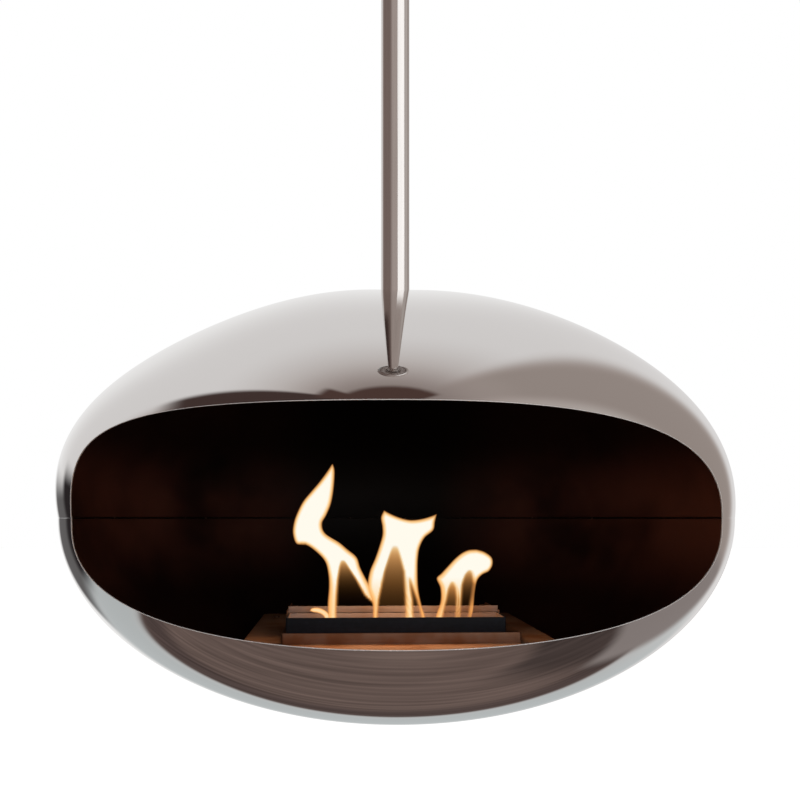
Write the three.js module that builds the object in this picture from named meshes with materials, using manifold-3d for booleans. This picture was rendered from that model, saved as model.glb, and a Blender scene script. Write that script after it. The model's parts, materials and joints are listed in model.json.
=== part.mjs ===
// Hanging fireplace: a polished steel pod on a ceiling pole, with a liquid-fuel burner inside.
// Millimetres, +Z up. The origin is the middle of the ceiling face, on the axis of the pole.
// The mouth of the pod faces -Y. The pod turns on a thrust bearing in the ceiling fitting, and
// the burner's lid slides along Y over the burner's slot.

import * as THREE from 'three';
import { mergeVertices } from 'three/addons/utils/BufferGeometryUtils.js';
import Module from 'manifold-3d';

const wasm = await Module();
wasm.setup();
const { Manifold, Mesh: SolidMesh } = wasm;

// ---------------------------------------------------------------- driving dimensions

const clearance = 0.3; // between neighbours that are cut, bored or curved

// pod: two pressed halves that meet in a level seam
const podHalfWidth = 570;
const podFrontReach = 621; // of the whole form, before the mouth is cut
const podBackReach = 570;
const podRise = 400;
const podDrop = 344;
const podWall = 3;
const sideRisePower = 2.04; // powers of the superellipse that each upright section follows
const frontRisePower = 1.58;
const backRisePower = 2.0;
const sideDropPower = 2.0;
const frontDropPower = 2.16;
const backDropPower = 2.0;
const leftShoulder = 0.031; // how far the shoulders stand out, as a part of the radius
const rightShoulder = 0.016;
const backShoulder = 0.023;
const shoulderRate = 4.5;
const podAzimuths = 60;
const podRows = 12;

// mouth: four quarters of a superellipse, seen from the front
const mouthCentreX = -30;
const mouthCentreZ = -16; // above the seam
const mouthLeft = 461;
const mouthRight = 489;
const mouthUp = 168;
const mouthDown = 151;
const mouthUpperLeftPower = 4.4;
const mouthUpperRightPower = 2.9;
const mouthLowerLeftPower = 2.4;
const mouthLowerRightPower = 2.4;
const mouthPoints = 72;
const mouthCutBack = -100; // the cut stops here, in front of the pole

// seam weld, a bead inside the wall
const weldRadius = 2;
const weldSides = 6;

// ceiling fitting
const plateRadius = 75;
const plateThickness = 8;
const anchorHoleCount = 4;
const anchorHoleRadius = 4;
const flangeRadius = 58;
const flangeThickness = 6;
const housingRadius = 41;
const housingBore = 34;
const housingDepth = 44; // from the flange's face to the underside
const housingFloor = 6;
const housingScrewCount = 4;
const housingScrewRadius = 3;
const housingScrewHeadRadius = 5;
const housingScrewHead = 4;
const housingScrewBite = 5; // how far the screws reach into the plate
const bushWall = 2.5;
const bushFlangeRadius = 23;
const bushFlange = 2;
const raceThickness = 5;
const raceRadius = 32;
const ballRadius = 3.7;
const ballCircle = 25;
const ballCount = 10;
const cageThickness = 3;
const cageHalfWidth = 3;
const nutAcrossFlats = 46;
const nutHeight = 12;
const nutPinRadius = 2;
const nutPinOverhang = 2;
const stemRadius = 15;
const stemAboveNut = 3;
const stemShown = 12; // between the canopy and the pole's plug
const canopyRadius = 82;
const canopyDepth = 62;
const canopyCorner = 22;
const canopyWall = 1.5;
const canopyCornerPoints = 6;
const canopyHoleGap = 3;
const canopyScrewRadius = 2;
const canopyScrewLength = 12;
const canopyScrewHeadRadius = 3.5;
const canopyScrewHead = 1.5;

// pole
const poleRadius = 25.4;
const poleWall = 2;
const poleLength = 1300;
const topPlugFlange = 4;
const topPlugDepth = 48;
const stemBite = 40; // how far the stem reaches into the top plug
const polePinRadius = 3;
const polePinInset = 1; // the pin ends inside the tube
const collarWall = 4.5;
const collarHeight = 26;
const collarDrop = 4; // below the pole's end
const collarScrewRadius = 2.5;
const footPlugDepth = 50;
const boltRadius = 10;
const boltBite = 36; // how far the bolt reaches into the foot plug
const boltHeadAcrossFlats = 30;
const boltHeadHeight = 12.5;
const washerRadius = 28;
const washerThickness = 4;
const doublerRadius = 75;
const doublerDepth = 18; // from the top of the inner wall down to its flat face

// platform in the bowl
const platformDrop = 200; // below the seam
const platformHalfWidth = 258;
const platformHalfLength = 335;
const platformThickness = 3;
const platformFlange = 20;
const postInsetX = 33; // from the sheet's edges
const postInsetY = 85;
const postRadius = 8;
const postFootRadius = 18;
const postFootThickness = 5;
const postScrewRadius = 3;
const postScrewLength = 18;
const postScrewHeadRadius = 5.25;
const postScrewHead = 3.3;

// burner
const casingHalfWidth = 191;
const casingFront = -209;
const casingLength = 250;
const casingHeight = 18;
const casingWall = 2;
const frameInsetLeft = 7; // of the frame round the slot, from the casing's ends
const frameInsetRight = 25;
const frameDepth = 87;
const frameHeight = 24;
const frameWall = 3;
const tankLip = 5;
const tankLipThickness = 1.5;
const tankWall = 1.5;
const tankDepth = 68; // below the deck
const deckHoleGap = 0.5; // round the tank
const platformHoleGap = 2.5;
const woolTop = 8; // below the deck
const grateThickness = 1.5;
const grateColumns = 12;
const grateRows = 3;
const grateBar = 8;
const lidThickness = 2;
const lidLip = 11;
const lidOverlap = 2; // past the slot's frame, front and back, when shut
const railWidth = 10;
const railGuide = 2.5;
const railGuideHeight = 4;
const railScrewRadius = 2;
const railScrewHeadRadius = 3.5;
const railScrewHead = 2;
const railScrewBite = 12;
const railScrewInset = 22;

// facets of round things
const roundLarge = 36;
const roundMedium = 24;
const roundSmall = 10;

// ---------------------------------------------------------------- heights that follow

const flangeFace = -plateThickness;
const housingUnderside = flangeFace - housingDepth;
const housingInside = housingUnderside + housingFloor;
const lowerRaceTop = housingInside + raceThickness;
const ballLevel = lowerRaceTop + clearance + ballRadius;
const upperRaceBottom = ballLevel + ballRadius + clearance;
const nutBottom = upperRaceBottom + raceThickness;
const nutTop = nutBottom + nutHeight;
const stemTop = nutTop + stemAboveNut;
const canopyBottom = -canopyDepth;
const poleTopFace = canopyBottom - stemShown; // upper face of the pole's plug
const poleTop = poleTopFace - topPlugFlange;
const podTop = poleTop - poleLength;
const seamLevel = podTop - podRise;
const stemBottom = poleTopFace - stemBite;
const polePinLevel = poleTop - collarDrop - collarHeight / 2;

// ---------------------------------------------------------------- geometry helpers

// The mesh as one closed body: shared corners merged, and every face pointing out.
function closed(geometry) {
  const bare = geometry.clone();
  bare.deleteAttribute('normal');
  bare.deleteAttribute('uv');
  const merged = mergeVertices(bare, 1e-4);
  const place = merged.getAttribute('position');
  const index = Array.from(merged.getIndex().array);
  const corners = [new THREE.Vector3(), new THREE.Vector3(), new THREE.Vector3()];
  const kept = [];
  let volume = 0;
  for (let i = 0; i < index.length; i += 3) {
    const [a, b, c] = index.slice(i, i + 3);
    if (a === b || b === c || c === a) continue;
    [a, b, c].forEach((corner, k) => corners[k].fromBufferAttribute(place, corner));
    volume += corners[0].dot(corners[1].clone().cross(corners[2]));
    kept.push([a, b, c]);
  }
  const faces = volume > 0 ? kept : kept.map(([a, b, c]) => [a, c, b]);
  merged.setIndex(faces.flat());
  return merged;
}

function solid(geometry) {
  const body = closed(geometry);
  return new Manifold(
    new SolidMesh({
      numProp: 3,
      vertProperties: new Float32Array(body.getAttribute('position').array),
      triVerts: new Uint32Array(body.getIndex().array),
    })
  );
}

function geometryOf(manifold) {
  const mesh = manifold.getMesh();
  const geometry = new THREE.BufferGeometry();
  geometry.setAttribute('position', new THREE.BufferAttribute(mesh.vertProperties, 3));
  geometry.setIndex(new THREE.BufferAttribute(mesh.triVerts, 1));
  return geometry;
}

// A body turned about Z from a closed profile of [radius, height] points.
function turned(profile, segments) {
  const points = profile.map(([radius, height]) => new THREE.Vector2(radius, height));
  const first = points[0];
  const last = points[points.length - 1];
  const onAxis = first.x === 0 && last.x === 0;
  if (!onAxis) points.push(first.clone());
  return closed(new THREE.LatheGeometry(points, segments).rotateX(Math.PI / 2));
}

function disc(radius, bottom, top, segments) {
  return turned([[0, bottom], [radius, bottom], [radius, top], [0, top]], segments);
}

function ring(inner, outer, bottom, top, segments) {
  return turned([[inner, bottom], [outer, bottom], [outer, top], [inner, top]], segments);
}

// A hexagonal prism with its flats facing +Y and -Y.
function hexagon(acrossFlats, bottom, top) {
  return disc(acrossFlats / Math.sqrt(3), bottom, top, 6).rotateZ(Math.PI / 2);
}

// A rod from one x to another, at the given y and z.
function rodAlongX(radius, fromX, toX, y, z) {
  const rod = new THREE.CylinderGeometry(radius, radius, toX - fromX, roundSmall);
  return rod.rotateZ(Math.PI / 2).translate((fromX + toX) / 2, y, z);
}

function block(xs, ys, zs) {
  const box = new THREE.BoxGeometry(xs[1] - xs[0], ys[1] - ys[0], zs[1] - zs[0]);
  return box.translate((xs[0] + xs[1]) / 2, (ys[0] + ys[1]) / 2, (zs[0] + zs[1]) / 2);
}

// A screw along Z: its shank goes up from the head when up is 1, and down when up is -1.
function screw(shankRadius, shankLength, headRadius, headHeight, up) {
  const shape = turned(
    [
      [0, -headHeight],
      [headRadius, -headHeight],
      [headRadius, 0],
      [shankRadius, 0],
      [shankRadius, shankLength],
      [0, shankLength],
    ],
    roundSmall
  );
  return up > 0 ? shape : closed(shape.rotateX(Math.PI));
}

// A body made of rings of points, with its ends drawn together in two points.
function lofted(rings, startPoint, endPoint) {
  const count = rings[0].length;
  const places = [startPoint, ...rings.flat(), endPoint].flatMap((point) => point.toArray());
  const faces = [];
  const at = (row, k) => 1 + row * count + (k % count);
  const end = 1 + rings.length * count;
  for (let k = 0; k < count; k += 1) {
    faces.push(0, at(0, k + 1), at(0, k));
    faces.push(end, at(rings.length - 1, k), at(rings.length - 1, k + 1));
    for (let row = 0; row + 1 < rings.length; row += 1) {
      faces.push(at(row, k), at(row, k + 1), at(row + 1, k + 1));
      faces.push(at(row, k), at(row + 1, k + 1), at(row + 1, k));
    }
  }
  const geometry = new THREE.BufferGeometry();
  geometry.setAttribute('position', new THREE.Float32BufferAttribute(places, 3));
  geometry.setIndex(faces);
  return closed(geometry);
}

// ---------------------------------------------------------------- form of the pod

// A value that changes round the pod: one at the sides, one in front and one behind.
function roundThePod(azimuth, left, right, front, back) {
  const across = Math.cos(azimuth) ** 2;
  const along = Math.sin(azimuth) ** 2;
  const side = Math.cos(azimuth) > 0 ? right : left;
  return across * side + along * (Math.sin(azimuth) < 0 ? front : back);
}

// A point of the pod's wall, above or below the seam. Each upright section is a superellipse
// from the seam (climb 0) to the pole (climb 90 degrees), with a swell at the upper shoulder.
function podPoint(azimuth, climb, inset, upper) {
  const reach = roundThePod(azimuth, podHalfWidth, podHalfWidth, podFrontReach, podBackReach);
  const power = upper
    ? roundThePod(azimuth, sideRisePower, sideRisePower, frontRisePower, backRisePower)
    : roundThePod(azimuth, sideDropPower, sideDropPower, frontDropPower, backDropPower);
  const swell = upper ? roundThePod(azimuth, leftShoulder, rightShoulder, 0, backShoulder) : 0;
  const stretch = 1 + swell * Math.sin(shoulderRate * climb) * Math.cos(climb);
  const out = (reach - inset) * Math.max(0, Math.cos(climb)) ** (2 / power) * stretch;
  const height = ((upper ? podRise : podDrop) - inset) * Math.sin(climb) ** (2 / power) * stretch;
  const z = upper ? height : -height;
  return new THREE.Vector3(out * Math.cos(azimuth), out * Math.sin(azimuth), z);
}

// Half of the pod as a full body, inset from the outer face. The skirt carries it past the seam.
function podHalf(upper, inset, skirt) {
  const side = upper ? 1 : -1;
  const azimuths = Array.from({ length: podAzimuths }, (_, k) => (k / podAzimuths) * 2 * Math.PI);
  const rings = Array.from({ length: podRows }, (_, row) => {
    const climb = ((row / podRows) * Math.PI) / 2;
    return azimuths.map((azimuth) => podPoint(azimuth, climb, inset, upper));
  });
  const floor = new THREE.Vector3(0, 0, -side * skirt);
  const skirtRing = rings[0].map((point) => point.clone().setZ(floor.z));
  const crown = new THREE.Vector3(0, 0, side * ((upper ? podRise : podDrop) - inset));
  return lofted(skirt > 0 ? [skirtRing, ...rings] : rings, floor, crown);
}

function mouthOutline() {
  const outline = Array.from({ length: mouthPoints }, (_, k) => {
    const angle = (k / mouthPoints) * 2 * Math.PI;
    const right = Math.cos(angle) >= 0;
    const above = Math.sin(angle) >= 0;
    const upperPower = right ? mouthUpperRightPower : mouthUpperLeftPower;
    const lowerPower = right ? mouthLowerRightPower : mouthLowerLeftPower;
    const power = above ? upperPower : lowerPower;
    const across = Math.abs(Math.cos(angle)) ** (2 / power) * (right ? mouthRight : -mouthLeft);
    const up = Math.abs(Math.sin(angle)) ** (2 / power) * (above ? mouthUp : -mouthDown);
    return new THREE.Vector2(mouthCentreX + across, mouthCentreZ + up);
  });
  return new THREE.Shape(outline);
}

function mouthCutter() {
  const depth = 2 * podFrontReach;
  const cutter = new THREE.ExtrudeGeometry(mouthOutline(), { depth, bevelEnabled: false });
  return cutter.rotateX(Math.PI / 2).translate(0, mouthCutBack, 0);
}

// ---------------------------------------------------------------- materials

function finish(color, roughness, metalness) {
  return new THREE.MeshStandardMaterial({ color, roughness, metalness });
}

const polished = finish('#cfcdca', 0.06, 1);
const brushed = finish('#b9b3ad', 0.34, 1);
const machined = finish('#9c9a97', 0.3, 1);
const bronze = finish('#a87f4d', 0.35, 1);
const zincPlated = finish('#b7b9bb', 0.4, 1);
const burnerSteel = finish('#a99a8d', 0.3, 1);
const darkSteel = finish('#2b3139', 0.45, 0.6);
const fibre = finish('#ece6da', 0.95, 0);

// ---------------------------------------------------------------- the scene graph

const fireplace = new THREE.Group();
const pod = new THREE.Group();
pod.position.z = seamLevel;
fireplace.add(pod);

function add(group, name, geometry, material) {
  const mesh = new THREE.Mesh(geometry, material);
  mesh.name = name;
  group.add(mesh);
}

// ---------------------------------------------------------------- ceiling fitting

function placesOnCircle(count, radius) {
  return Array.from({ length: count }, (_, k) => {
    const angle = ((k + 0.5) / count) * 2 * Math.PI;
    return [radius * Math.cos(angle), radius * Math.sin(angle)];
  });
}

const housingScrewPlaces = placesOnCircle(housingScrewCount, (housingRadius + flangeRadius) / 2);
const anchorHolePlaces = placesOnCircle(anchorHoleCount, (flangeRadius + plateRadius) / 2);

function ceilingPlate() {
  let plate = solid(disc(plateRadius, flangeFace, 0, roundLarge));
  const holeTop = flangeFace + housingScrewBite + clearance;
  const hole = disc(housingScrewRadius + clearance, flangeFace - 1, holeTop, roundSmall);
  for (const [x, y] of housingScrewPlaces) {
    plate = plate.subtract(solid(hole.clone().translate(x, y, 0)));
  }
  const anchorHole = disc(anchorHoleRadius, flangeFace - 1, 1, roundSmall);
  for (const [x, y] of anchorHolePlaces) {
    plate = plate.subtract(solid(anchorHole.clone().translate(x, y, 0)));
  }
  const sideHole = canopyScrewRadius + clearance;
  const holeEnd = canopyRadius - canopyScrewLength - clearance;
  for (const [fromX, toX] of [[-canopyRadius, -holeEnd], [holeEnd, canopyRadius]]) {
    plate = plate.subtract(solid(rodAlongX(sideHole, fromX, toX, 0, flangeFace / 2)));
  }
  return geometryOf(plate);
}

function bearingHousing() {
  const flangeUnderside = flangeFace - flangeThickness;
  const bore = stemRadius + clearance + bushWall + clearance;
  const cup = turned(
    [
      [bore, housingUnderside],
      [housingRadius, housingUnderside],
      [housingRadius, flangeUnderside],
      [flangeRadius, flangeUnderside],
      [flangeRadius, flangeFace],
      [housingBore, flangeFace],
      [housingBore, housingInside],
      [bore, housingInside],
    ],
    roundLarge
  );
  let housing = solid(cup);
  const hole = disc(
    housingScrewRadius + clearance, flangeUnderside - 1, flangeFace + 1, roundSmall
  );
  for (const [x, y] of housingScrewPlaces) {
    housing = housing.subtract(solid(hole.clone().translate(x, y, 0)));
  }
  return geometryOf(housing);
}

function housingBush() {
  const inner = stemRadius + clearance;
  return turned(
    [
      [inner, housingUnderside - bushFlange],
      [bushFlangeRadius, housingUnderside - bushFlange],
      [bushFlangeRadius, housingUnderside],
      [inner + bushWall, housingUnderside],
      [inner + bushWall, housingInside - clearance],
      [inner, housingInside - clearance],
    ],
    roundMedium
  );
}

function ballCage() {
  const halfCage = cageThickness / 2;
  const band = ring(
    ballCircle - cageHalfWidth, ballCircle + cageHalfWidth,
    ballLevel - halfCage, ballLevel + halfCage, roundLarge
  );
  let cage = solid(band);
  for (let k = 0; k < ballCount; k += 1) {
    const angle = (k / ballCount) * 2 * Math.PI;
    const ball = new THREE.SphereGeometry(ballRadius, 8, 6).rotateX(Math.PI / 2);
    ball.translate(ballCircle * Math.cos(angle), ballCircle * Math.sin(angle), ballLevel);
    cage = cage.add(solid(ball));
  }
  return geometryOf(cage);
}

function swivelNut() {
  const nut = solid(hexagon(nutAcrossFlats, nutBottom, nutTop));
  const bore = solid(disc(stemRadius + clearance, nutBottom - 1, nutTop + 1, roundMedium));
  const pinHole = rodAlongX(
    nutPinRadius + clearance, -nutAcrossFlats, nutAcrossFlats, 0, (nutBottom + nutTop) / 2
  );
  return geometryOf(nut.subtract(bore).subtract(solid(pinHole)));
}

function swivelStem() {
  const stem = solid(disc(stemRadius, stemBottom, stemTop, roundMedium));
  const nutPinHole = rodAlongX(
    nutPinRadius + clearance, -2 * stemRadius, 2 * stemRadius, 0, (nutBottom + nutTop) / 2
  );
  const polePinHole = rodAlongX(
    polePinRadius + clearance, -2 * stemRadius, 2 * stemRadius, 0, polePinLevel
  );
  return geometryOf(stem.subtract(solid(nutPinHole)).subtract(solid(polePinHole)));
}

// A pressed cover with a rounded lower edge, hung from two screws in the plate's edge.
function canopyCover() {
  const hole = stemRadius + canopyHoleGap;
  const corner = (radius) =>
    Array.from({ length: canopyCornerPoints }, (_, k) => {
      const angle = (k / (canopyCornerPoints - 1)) * (Math.PI / 2);
      return [
        canopyRadius - canopyCorner + radius * Math.cos(angle),
        canopyBottom + canopyCorner - radius * Math.sin(angle),
      ];
    });
  const outside = [[canopyRadius, -clearance], ...corner(canopyCorner), [hole, canopyBottom]];
  const inside = [
    [canopyRadius - canopyWall, -clearance],
    ...corner(canopyCorner - canopyWall),
    [hole, canopyBottom + canopyWall],
  ].reverse();
  let cover = solid(turned([...outside, ...inside], roundLarge));
  const reach = 2 * canopyRadius;
  const holes = rodAlongX(canopyScrewRadius + clearance, -reach, reach, 0, flangeFace / 2);
  cover = cover.subtract(solid(holes));
  return geometryOf(cover);
}

function canopyScrew(side) {
  const shape = screw(
    canopyScrewRadius, canopyScrewLength, canopyScrewHeadRadius, canopyScrewHead, 1
  );
  const turn = side > 0 ? -Math.PI / 2 : Math.PI / 2;
  return shape.rotateY(turn).translate(side * canopyRadius, 0, flangeFace / 2);
}

add(fireplace, 'ceiling_plate', ceilingPlate(), machined);
add(fireplace, 'bearing_housing', bearingHousing(), machined);
housingScrewPlaces.forEach(([x, y], k) => {
  const shape = screw(
    housingScrewRadius, flangeThickness + housingScrewBite,
    housingScrewHeadRadius, housingScrewHead, 1
  );
  shape.translate(x, y, flangeFace - flangeThickness);
  add(fireplace, `housing_screw_${k + 1}`, shape, zincPlated);
});
add(fireplace, 'housing_bush', housingBush(), bronze);
add(
  fireplace, 'lower_race',
  ring(ballCircle - cageHalfWidth, raceRadius, housingInside, lowerRaceTop, roundLarge), machined
);
add(fireplace, 'ball_cage', ballCage(), machined);
add(
  fireplace, 'upper_race',
  ring(stemRadius + clearance, raceRadius, upperRaceBottom, nutBottom, roundLarge), machined
);
add(fireplace, 'swivel_nut', swivelNut(), zincPlated);
add(
  fireplace, 'nut_pin',
  rodAlongX(
    nutPinRadius, -nutAcrossFlats / 2 - nutPinOverhang, nutAcrossFlats / 2 + nutPinOverhang,
    0, (nutBottom + nutTop) / 2
  ),
  zincPlated
);
add(fireplace, 'swivel_stem', swivelStem(), machined);
add(fireplace, 'ceiling_canopy', canopyCover(), brushed);
add(fireplace, 'canopy_screw_left', canopyScrew(-1), zincPlated);
add(fireplace, 'canopy_screw_right', canopyScrew(1), zincPlated);

// ---------------------------------------------------------------- pole

const poleBore = poleRadius - poleWall;
const plugRadius = poleBore - clearance;
const polePinReach = poleRadius - polePinInset;

function polePinHole() {
  const reach = 2 * poleRadius;
  return solid(rodAlongX(polePinRadius + clearance, -reach, reach, 0, polePinLevel));
}

function topPlug() {
  const shape = turned(
    [
      [0, poleTop - topPlugDepth],
      [plugRadius, poleTop - topPlugDepth],
      [plugRadius, poleTop],
      [poleRadius, poleTop],
      [poleRadius, poleTopFace],
      [0, poleTopFace],
    ],
    roundMedium
  );
  const bore = disc(stemRadius + clearance, stemBottom - clearance, poleTopFace + 1, roundMedium);
  return geometryOf(solid(shape).subtract(solid(bore)).subtract(polePinHole()));
}

// The pod's upper half, grown by the clearance, placed where it is under the pole.
function podTopForm() {
  return solid(podHalf(true, -clearance, 1).translate(0, 0, seamLevel));
}

function poleTube() {
  const tube = solid(ring(poleBore, poleRadius, podTop - poleRadius, poleTop, roundMedium));
  return geometryOf(tube.subtract(podTopForm()).subtract(polePinHole()));
}

function footPlug() {
  const plug = solid(disc(plugRadius, podTop - poleRadius, podTop + footPlugDepth, roundMedium));
  const bore = disc(
    boltRadius + clearance, podTop - 2 * poleRadius, podTop + boltBite + clearance, roundMedium
  );
  return geometryOf(plug.subtract(podTopForm()).subtract(solid(bore)));
}

function poleCollar() {
  const top = poleTop - collarDrop;
  const inner = poleRadius + clearance;
  const sleeve = solid(ring(inner, inner + collarWall, top - collarHeight, top, roundMedium));
  const hole = new THREE.CylinderGeometry(
    collarScrewRadius + clearance, collarScrewRadius + clearance, 4 * collarWall, roundSmall
  );
  hole.translate(0, inner + collarWall, top - collarHeight / 2);
  return geometryOf(sleeve.subtract(solid(hole)));
}

function collarScrew() {
  const grub = new THREE.CylinderGeometry(
    collarScrewRadius, collarScrewRadius, collarWall, roundSmall
  );
  return grub.translate(0, poleRadius + clearance + collarWall / 2, polePinLevel);
}

add(fireplace, 'pole_top_plug', topPlug(), machined);
add(
  fireplace, 'pole_pin',
  rodAlongX(polePinRadius, -polePinReach, polePinReach, 0, polePinLevel), zincPlated
);
add(fireplace, 'pole', poleTube(), brushed);
add(fireplace, 'pole_collar', poleCollar(), brushed);
add(fireplace, 'collar_screw', collarScrew(), zincPlated);
add(fireplace, 'pole_foot_plug', footPlug(), machined);

// ---------------------------------------------------------------- shell

const doublerFace = podRise - podWall - doublerDepth;
const washerFace = doublerFace - washerThickness;

function shellHalf(upper) {
  const outer = solid(podHalf(upper, 0, 0));
  const inner = solid(podHalf(upper, podWall, 1));
  let half = outer.subtract(inner).subtract(solid(mouthCutter()));
  if (upper) {
    const hole = disc(boltRadius + clearance, podRise - 4 * podWall, podRise + podWall, roundMedium);
    half = half.subtract(solid(hole));
  }
  return geometryOf(half);
}

// A bead that runs behind the seam, from one end of the mouth round the back to the other.
function seamWeld() {
  const inset = podWall + clearance + weldRadius;
  const step = (2 * Math.PI) / podAzimuths;
  const wallPoint = (azimuth) => podPoint(azimuth, 0, inset, true);
  const clear = (azimuth) => {
    const { x, y } = wallPoint(azimuth);
    const inMouth = x > mouthCentreX - mouthLeft && x < mouthCentreX + mouthRight;
    return y > 0 || !inMouth;
  };
  const behind = Math.PI / 2;
  const stations = [];
  for (let k = -podAzimuths / 2; k <= podAzimuths / 2; k += 1) {
    if (clear(behind + k * step)) stations.push(behind + k * step);
  }
  const rings = stations.map((azimuth) => {
    const middle = wallPoint(azimuth);
    const outward = new THREE.Vector3(Math.cos(azimuth), Math.sin(azimuth), 0);
    return Array.from({ length: weldSides }, (_, k) => {
      const angle = (k / weldSides) * 2 * Math.PI;
      const spot = middle.clone().addScaledVector(outward, weldRadius * Math.cos(angle));
      return spot.setZ(weldRadius * Math.sin(angle));
    });
  });
  return lofted(rings, wallPoint(stations[0]), wallPoint(stations[stations.length - 1]));
}

function topDoubler() {
  const plate = solid(disc(doublerRadius, doublerFace, podRise, roundLarge));
  const under = solid(podHalf(true, podWall + clearance, 1));
  const hole = disc(boltRadius + clearance, doublerFace - 1, podRise + 1, roundMedium);
  return geometryOf(plate.intersect(under).subtract(solid(hole)));
}

function poleBolt() {
  const tip = podRise + boltBite;
  const shank = solid(disc(boltRadius, washerFace - boltHeadHeight / 2, tip, roundMedium));
  const head = solid(hexagon(boltHeadAcrossFlats, washerFace - boltHeadHeight, washerFace));
  return geometryOf(shank.add(head));
}

add(pod, 'upper_shell', shellHalf(true), polished);
add(pod, 'lower_shell', shellHalf(false), polished);
add(pod, 'seam_weld', seamWeld(), darkSteel);
add(pod, 'top_doubler', topDoubler(), darkSteel);
add(
  pod, 'pole_washer',
  ring(boltRadius + clearance, washerRadius, washerFace, doublerFace, roundMedium), zincPlated
);
add(pod, 'pole_bolt', poleBolt(), zincPlated);

// ---------------------------------------------------------------- platform

const platformTop = -platformDrop;
const platformUnderside = platformTop - platformThickness;
const deckTop = platformTop + casingHeight;
const casingBack = casingFront + casingLength;
const frameLeft = frameInsetLeft - casingHalfWidth;
const frameRight = casingHalfWidth - frameInsetRight;
const frameBack = casingFront + frameDepth;
const slot = {
  left: frameLeft + frameWall,
  right: frameRight - frameWall,
  front: casingFront + frameWall,
  back: frameBack - frameWall,
};
const tank = {
  left: slot.left + tankLip,
  right: slot.right - tankLip,
  front: slot.front + tankLip,
  back: slot.back - tankLip,
};
const postX = platformHalfWidth - postInsetX;
const postY = platformHalfLength - postInsetY;
const postPlaces = [[-postX, -postY], [postX, -postY], [postX, postY], [-postX, postY]];

function tankHole(gap, bottom, top) {
  return solid(
    block([tank.left - gap, tank.right + gap], [tank.front - gap, tank.back + gap], [bottom, top])
  );
}

// A sheet with its two long edges folded down, trimmed to the bowl.
function platformSheet() {
  const outside = [
    [-platformHalfWidth, platformTop],
    [-platformHalfWidth, platformTop - platformFlange],
    [-platformHalfWidth + platformThickness, platformTop - platformFlange],
    [-platformHalfWidth + platformThickness, platformUnderside],
    [platformHalfWidth - platformThickness, platformUnderside],
    [platformHalfWidth - platformThickness, platformTop - platformFlange],
    [platformHalfWidth, platformTop - platformFlange],
    [platformHalfWidth, platformTop],
  ];
  const section = new THREE.Shape(outside.map(([x, z]) => new THREE.Vector2(x, z)));
  const length = { depth: 2 * platformHalfLength, bevelEnabled: false };
  const channel = new THREE.ExtrudeGeometry(section, length).rotateX(Math.PI / 2);
  channel.translate(0, platformHalfLength, 0);
  const hole = tankHole(platformHoleGap, platformUnderside - 1, platformTop + 1);
  const bowl = solid(podHalf(false, podWall + clearance, 1));
  let sheet = solid(channel).intersect(bowl).subtract(hole);
  const screwHole = disc(
    postScrewRadius + clearance, platformUnderside - 1, platformTop + 1, roundSmall
  );
  for (const [x, y] of postPlaces) {
    sheet = sheet.subtract(solid(screwHole.clone().translate(x, y, 0)));
  }
  return geometryOf(sheet);
}

// A post between the bowl and the sheet. Its foot is a pad that lies along the bowl.
function platformPost(x, y) {
  const bowl = solid(podHalf(false, podWall + clearance, 1));
  const bowlAbovePad = solid(podHalf(false, podWall + clearance + postFootThickness, 1));
  const rod = disc(postRadius, -podDrop, platformUnderside, roundSmall).translate(x, y, 0);
  const pad = disc(postFootRadius, -podDrop, platformUnderside, roundMedium).translate(x, y, 0);
  const foot = solid(pad).intersect(bowl).subtract(bowlAbovePad);
  const hole = disc(
    postScrewRadius + clearance, platformTop - postScrewLength - clearance,
    platformTop, roundSmall
  );
  const whole = solid(rod).intersect(bowl).add(foot);
  return geometryOf(whole.subtract(solid(hole.translate(x, y, 0))));
}

add(pod, 'burner_platform', platformSheet(), burnerSteel);
postPlaces.forEach(([x, y], k) => {
  add(pod, `platform_post_${k + 1}`, platformPost(x, y), darkSteel);
  const shape = screw(
    postScrewRadius, postScrewLength, postScrewHeadRadius, postScrewHead, -1
  );
  add(pod, `platform_screw_${k + 1}`, shape.translate(x, y, platformTop), zincPlated);
});

// ---------------------------------------------------------------- burner

const frameTop = deckTop + frameHeight;
const lidBottom = frameTop + clearance;
const slotDepth = slot.back - slot.front;
const lidFront = frameBack + 1;
const lidDepth = slotDepth + 2 * (frameWall + lidOverlap);
const rails = [
  { name: 'left', from: frameLeft, to: frameLeft + railWidth, out: -1 },
  { name: 'right', from: frameRight - railWidth, to: frameRight, out: 1 },
];
const railFront = frameBack + clearance;

// An upturned tray whose deck has the opening that the tank hangs in.
function burnerCasing() {
  const outside = block(
    [-casingHalfWidth, casingHalfWidth], [casingFront, casingBack], [platformTop, deckTop]
  );
  const inside = block(
    [-casingHalfWidth + casingWall, casingHalfWidth - casingWall],
    [casingFront + casingWall, casingBack - casingWall],
    [platformTop - 1, deckTop - casingWall]
  );
  let casing = solid(outside).subtract(solid(inside));
  casing = casing.subtract(tankHole(deckHoleGap, platformTop, deckTop + 1));
  const hole = disc(
    railScrewRadius + clearance, deckTop - 2 * casingWall, deckTop + 1, roundSmall
  );
  for (const [x, y] of railScrewPlaces()) {
    casing = casing.subtract(solid(hole.clone().translate(x, y, 0)));
  }
  return geometryOf(casing);
}

function railScrewPlaces() {
  const ys = [railFront + railScrewInset, casingBack - railScrewInset];
  return rails.flatMap(({ from, to }) => ys.map((y) => [(from + to) / 2, y]));
}

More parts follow.
